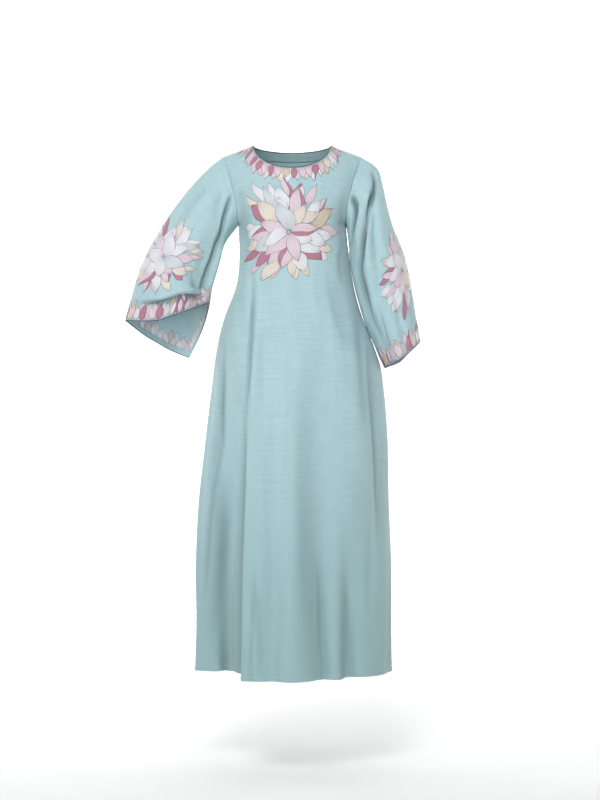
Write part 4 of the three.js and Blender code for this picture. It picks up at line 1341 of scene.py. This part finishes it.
class KaftanTrim(bpy.types.PropertyGroup):
    piping: length_setting("Piping", "Radius of the piping round the neck and cuffs", 0.0017)
    paint: colour_setting("Piping", "Colour of the piping", 104, 116, 130)
    outline: colour_setting("Outline", "Colour of the thread that outlines each petal", 94, 80, 104)
    wrong_side: colour_setting("Wrong side", "Colour between the petals' threads inside", 108, 116, 130)


class KaftanStage(bpy.types.PropertyGroup):
    distance: length_setting("Camera distance", "Distance of the camera in front of the garment", 4.5)
    span: length_setting("Camera span", "Height of the view at the garment", 2.0)
    floor: length_setting("Floor", "Height of the floor under the garment", -1.56)
    key: power_setting("Key light", "Power of the large soft light in front", 135.0)
    wash: power_setting("Background lights", "Power of each light on the background", 500.0)


# ---- operators ----

CAMERA_X, CAMERA_Z = 0.020, -0.640
FILL_SHARE = 0.30  # power of the low fill light, as a share of the key light's
ROOM_SIZE = (34, 18)
ROOM_HEIGHT = 12
ROOM_BEND = 3.0  # radius of the room's rounded corners
PAPER = (0.94, 0.94, 0.94)
cloths, finishes, made = {}, {}, {}


def finish_named(name):
    """The finishes, each made once."""
    if name in finishes:
        return finishes[name]
    cloth, trim = bpy.context.scene.kaftan_cloth, bpy.context.scene.kaftan_trim
    paint, dark, sheer = tuple(cloth.paint), tuple(cloth.dark), tuple(cloth.sheer)
    if name == "aqua_weave":
        finish = woven_finish(name, paint, dark, sheer, cloth.slub, cloth.pitch)
    elif name == "aqua_weave_painted_light_inside":
        # painted light: the inside's colours are the outside's made lighter by this share
        share = cloth.inside_share
        colours = (darker(tone, share) for tone in (paint, dark, sheer))
        finish = woven_finish(name, *colours, cloth.slub, cloth.pitch)
    elif name == "slate_piping":
        finish = piping_finish(name, tuple(trim.paint), darker(trim.paint, PIPING_HOLLOWS))
    elif name == "petal_thread":
        finish = thread_finish(name, tuple(trim.outline), VEIN_SHARE)
    else:
        finish = thread_finish(name, tuple(trim.wrong_side), INSIDE_VEIN_SHARE)
    finishes[name] = finish
    return finish


def cloth_named(name):
    """The cut pieces, each worked out once."""
    if name not in cloths:
        if name in SLEEVES:
            cloths[name] = sleeve_cloth(SLEEVES[name])
        else:
            cloths[name] = panel_cloth(name)
    return cloths[name]


def neck_columns(cloth):
    """The first and last columns of a panel's neckline."""
    top = cloth.grid[:, -1]
    above = np.abs(top[:, 2] - NECK_POINT[1])
    return [int(np.argmin(np.abs(top[:, 0] - x) + above)) for x in (-NECK_POINT[0], NECK_POINT[0])]


def settle(piece, slot, *nodes):
    """A finished piece, with what carries it and what it stands for."""
    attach(piece, BODY_NAME)
    if nodes:
        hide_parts(*nodes)
    made[piece.name] = piece


class KAFTAN_OT_stage(bpy.types.Operator):
    """Sets up the camera, a pale room with rounded corners, and soft light"""

    bl_idname = "kaftan.stage"
    bl_label = "Stage"

    def execute(self, context):
        stage = context.scene.kaftan_stage
        camera = bpy.data.objects.new("camera", bpy.data.cameras.new("camera"))
        context.scene.collection.objects.link(camera)
        camera.location = (CAMERA_X, -stage.distance, CAMERA_Z)
        camera.rotation_euler = (math.radians(90), 0, 0)
        camera.data.sensor_width = 36
        camera.data.lens = camera.data.sensor_width * stage.distance / stage.span
        camera.data.clip_end = 60
        context.scene.camera = camera
        self.room(stage.floor)
        self.light("key", (-0.7, -4.2, 2.5), (0, 0, -0.5), 1.7, stage.key)
        self.light("fill", (-1.6, -4.2, -0.9), (0, 0, -0.6), 2.4, stage.key * FILL_SHARE)
        self.light("wash_right", (-5.0, 3.5, 1.0), (0, 9.0, 0.5), 4.0, stage.wash)
        self.light("wash_left", (5.0, 3.5, 1.0), (0, 9.0, 0.5), 4.0, stage.wash)
        context.scene.view_settings.view_transform = "Standard"
        return {"FINISHED"}

    def room(self, floor):
        """A large pale room with rounded corners, lit from inside."""
        deselect_all()
        bpy.ops.mesh.primitive_plane_add(size=1, location=(0, 0, floor))
        room = bpy.context.object
        room.name = "studio_room"
        room.dimensions = (*ROOM_SIZE, 0)
        bpy.ops.object.transform_apply(location=True, rotation=True, scale=True)
        bpy.ops.object.mode_set(mode="EDIT")
        bpy.ops.mesh.select_all(action="SELECT")
        bpy.ops.mesh.extrude_region_move(TRANSFORM_OT_translate={"value": (0, 0, ROOM_HEIGHT)})
        bpy.ops.mesh.select_all(action="SELECT")
        bpy.ops.mesh.normals_make_consistent(inside=True)
        bpy.ops.object.mode_set(mode="OBJECT")
        bend = room.modifiers.new("bend", "BEVEL")
        bend.width = ROOM_BEND
        bend.segments = 16
        bpy.ops.object.modifier_apply(modifier=bend.name)
        bpy.ops.object.shade_smooth()
        room.data.materials.append(stage_finish("studio_paper", PAPER))

    def light(self, name, place, target, size, power):
        lamp = bpy.data.lights.new(name, "AREA")
        lamp.size = size
        lamp.energy = power
        thing = bpy.data.objects.new(name, lamp)
        bpy.context.scene.collection.objects.link(thing)
        thing.location = place
        aim = np.array(target, float) - np.array(place)
        thing.rotation_euler = (math.acos(-aim[2] / np.linalg.norm(aim)), 0, math.atan2(-aim[0], aim[1]))


def make_wall(name, side, *nodes):
    """A cut piece as a thin wall of cloth, in place of its CAD nodes."""
    materials = [finish_named("aqua_weave"), finish_named("aqua_weave_painted_light_inside")]
    thickness = bpy.context.scene.kaftan_cloth.thickness
    settle(shell(name, cloth_named(side), thickness, materials), "cloth", *nodes)


class KAFTAN_OT_panels(bpy.types.Operator):
    """Makes the front and the back of the body as thin cloth"""

    bl_idname = "kaftan.panels"
    bl_label = "Front and back"

    def execute(self, context):
        for side in PANELS:
            make_wall(f"{side}_cloth", side, f"{side}_panel")
        return {"FINISHED"}


class KAFTAN_OT_sleeves(bpy.types.Operator):
    """Makes the two bell sleeves as thin cloth"""

    bl_idname = "kaftan.sleeves"
    bl_label = "Sleeves"

    def execute(self, context):
        for side in SLEEVES:
            make_wall(f"sleeve_{side}_cloth", side, f"sleeve_{side}_front", f"sleeve_{side}_back")
        return {"FINISHED"}


class KAFTAN_OT_piping(bpy.types.Operator):
    """Makes the dark piping round the neck and round each cuff"""

    bl_idname = "kaftan.piping"
    bl_label = "Piping"

    def execute(self, context):
        front, back = cloth_named("front"), cloth_named("back")
        first, last = neck_columns(front)
        rim = rim_of(front, -1, first, last + 1)
        first, last = neck_columns(back)
        behind = rim_of(back, -1, first + 1, last)
        ring = [np.concatenate([ahead, part[::-1]]) for ahead, part in zip(rim, behind, strict=True)]
        self.cord("neck_piping_cord", *ring, "neck_piping")
        for side in SLEEVES:
            self.cord(f"cuff_piping_cord_{side}", *rim_of(cloth_named(side), -1), f"cuff_piping_{side}")
        return {"FINISHED"}

    def cord(self, name, edge, inward, outward, node):
        trim = bpy.context.scene.kaftan_trim
        centre = edge - inward * trim.piping * PIPING_OUT
        piece = tube(name, centre, inward, outward, trim.piping, PIPING_SIDES, [finish_named("slate_piping")])
        settle(piece, "piping", node)


class KAFTAN_OT_hems(bpy.types.Operator):
    """Makes the cloth turned up inside the hem and turned in at the cuffs and neck, and its stitches"""

    bl_idname = "kaftan.hems"
    bl_label = "Hems"

    def execute(self, context):
        sizes = context.scene.kaftan_cloth
        weave = [finish_named("aqua_weave")] * 2
        for side in PANELS:
            cloth = cloth_named(side)
            self.band(f"{side}_hem_band", cloth, cloth.along[0] < sizes.hem - BAND_MARGIN, weave)
            chart = edge_chart(cloth, 0, last=len(cloth.grid) - 1)
            settle(stitch_row(f"{side}_hem_stitches", chart, sizes.hem, weave[0]), "cloth")
            rows = cloth.along[0, -1] - cloth.along[0] < FACING_WIDTH
            self.band(f"{side}_neck_facing", cloth, rows, weave, neck_columns(cloth))
        for side in SLEEVES:
            cloth = cloth_named(side)
            rows = cloth.along[0, -1] - cloth.along[0] < sizes.turn_in
            self.band(f"cuff_turn_in_{side}", cloth, rows, weave, depth=TURN_IN_DEPTH)
        return {"FINISHED"}

    def band(self, name, cloth, rows, materials, columns=(0, None), depth=BAND_DEPTH):
        """A strip of the cloth lying inside it along an edge."""
        strip = cloth.part(rows, *columns)
        settle(shell(name, strip, BAND_THICKNESS, materials, -depth), "cloth")


class KAFTAN_OT_embroidery(bpy.types.Operator):
    """Makes the flowers on the chest and sleeves and the petals round the neck and cuffs"""

    bl_idname = "kaftan.embroidery"
    bl_label = "Embroidery"

    def execute(self, context):
        flower_net, border_net = petal_net(*FLOWER_NET), petal_net(*BORDER_NET)
        self.flower("chest_flower", "front", flower_net)
        for side in SLEEVES:
            self.flower(f"sleeve_flower_{side}", side, flower_net)
            chart = edge_chart(cloth_named(side), -1)
            petals = border_petals(BORDERS[side], chart.run)
            self.sew(f"cuff_petals_{side}", chart, petals, border_net)
            petals = [wrong_side(petal) for petal in petals]
            self.sew(f"cuff_petals_inside_{side}", chart, petals, border_net, True)
        for side in PANELS:
            cloth = cloth_named(side)
            chart = edge_chart(cloth, -1, *neck_columns(cloth))
            self.sew(f"neck_petals_{side}", chart, border_petals(BORDERS[side], chart.run), border_net)
        return {"FINISHED"}

    def flower(self, name, side, net):
        flower = FLOWERS[side]
        self.sew(name, flower_chart(cloth_named(side), flower.place), flower_petals(flower), net)

    def sew(self, name, chart, petals, net, inside=False):
        finish = finish_named("petal_thread_wrong_side" if inside else "petal_thread")
        settle(embroider(name, chart, petals, finish, net, inside), "embroidery")


class KAFTAN_OT_cut(bpy.types.Operator):
    """Looks up the pieces sewn on each piece of cloth; the flat cut and what carries each piece are not used
    """

    bl_idname = "kaftan.cut"
    bl_label = "Cut"

    def execute(self, context):
        for side, other in (("front", "back"), ("back", "front")):
            sewn = [name.format(side) for name in SEWN_ON_PANEL] + [SEWN_ON_ONE[side]]
            self.sheet(f"{side}_cloth", CUTS[side], (f"{other}_cloth",), sewn)
        for side in SLEEVES:
            sewn = [name.format(side) for name in SEWN_ON_SLEEVE]
            self.sheet(f"sleeve_{side}_cloth", CUTS[side], ("front_cloth", "back_cloth"), sewn)
        return {"FINISHED"}

    def sheet(self, name, cut, carried, sewn):
        sewn = [made[piece] for piece in sewn]


class KAFTAN_PT_sidebar(bpy.types.Panel):
    """The steps of the kaftan, in order"""

    bl_idname = "KAFTAN_PT_sidebar"
    bl_label = "Kaftan"
    bl_space_type = "VIEW_3D"
    bl_region_type = "UI"
    bl_category = "Kaftan"

    def draw(self, context):
        for step in STEPS:
            self.layout.operator(step.bl_idname)
        for group in (context.scene.kaftan_cloth, context.scene.kaftan_trim, context.scene.kaftan_stage):
            for name in group.__annotations__:
                self.layout.prop(group, name)


STEPS = (
    KAFTAN_OT_stage,
    KAFTAN_OT_panels,
    KAFTAN_OT_sleeves,
    KAFTAN_OT_piping,
    KAFTAN_OT_hems,
    KAFTAN_OT_embroidery,
    KAFTAN_OT_cut,
)
GROUPS = {"kaftan_cloth": KaftanCloth, "kaftan_trim": KaftanTrim, "kaftan_stage": KaftanStage}


def register():
    for group in (*GROUPS.values(), *STEPS, KAFTAN_PT_sidebar):
        bpy.utils.register_class(group)
    for name, group in GROUPS.items():
        setattr(bpy.types.Scene, name, bpy.props.PointerProperty(type=group))


def unregister():
    for name in GROUPS:
        delattr(bpy.types.Scene, name)
    for group in reversed((*GROUPS.values(), *STEPS, KAFTAN_PT_sidebar)):
        bpy.utils.unregister_class(group)


def main():
    register()
    bpy.ops.kaftan.stage()
    bpy.ops.kaftan.panels()
    bpy.ops.kaftan.sleeves()
    bpy.ops.kaftan.piping()
    bpy.ops.kaftan.hems()
    bpy.ops.kaftan.embroidery()
    bpy.ops.kaftan.cut()


if __name__ == "__main__":
    main()
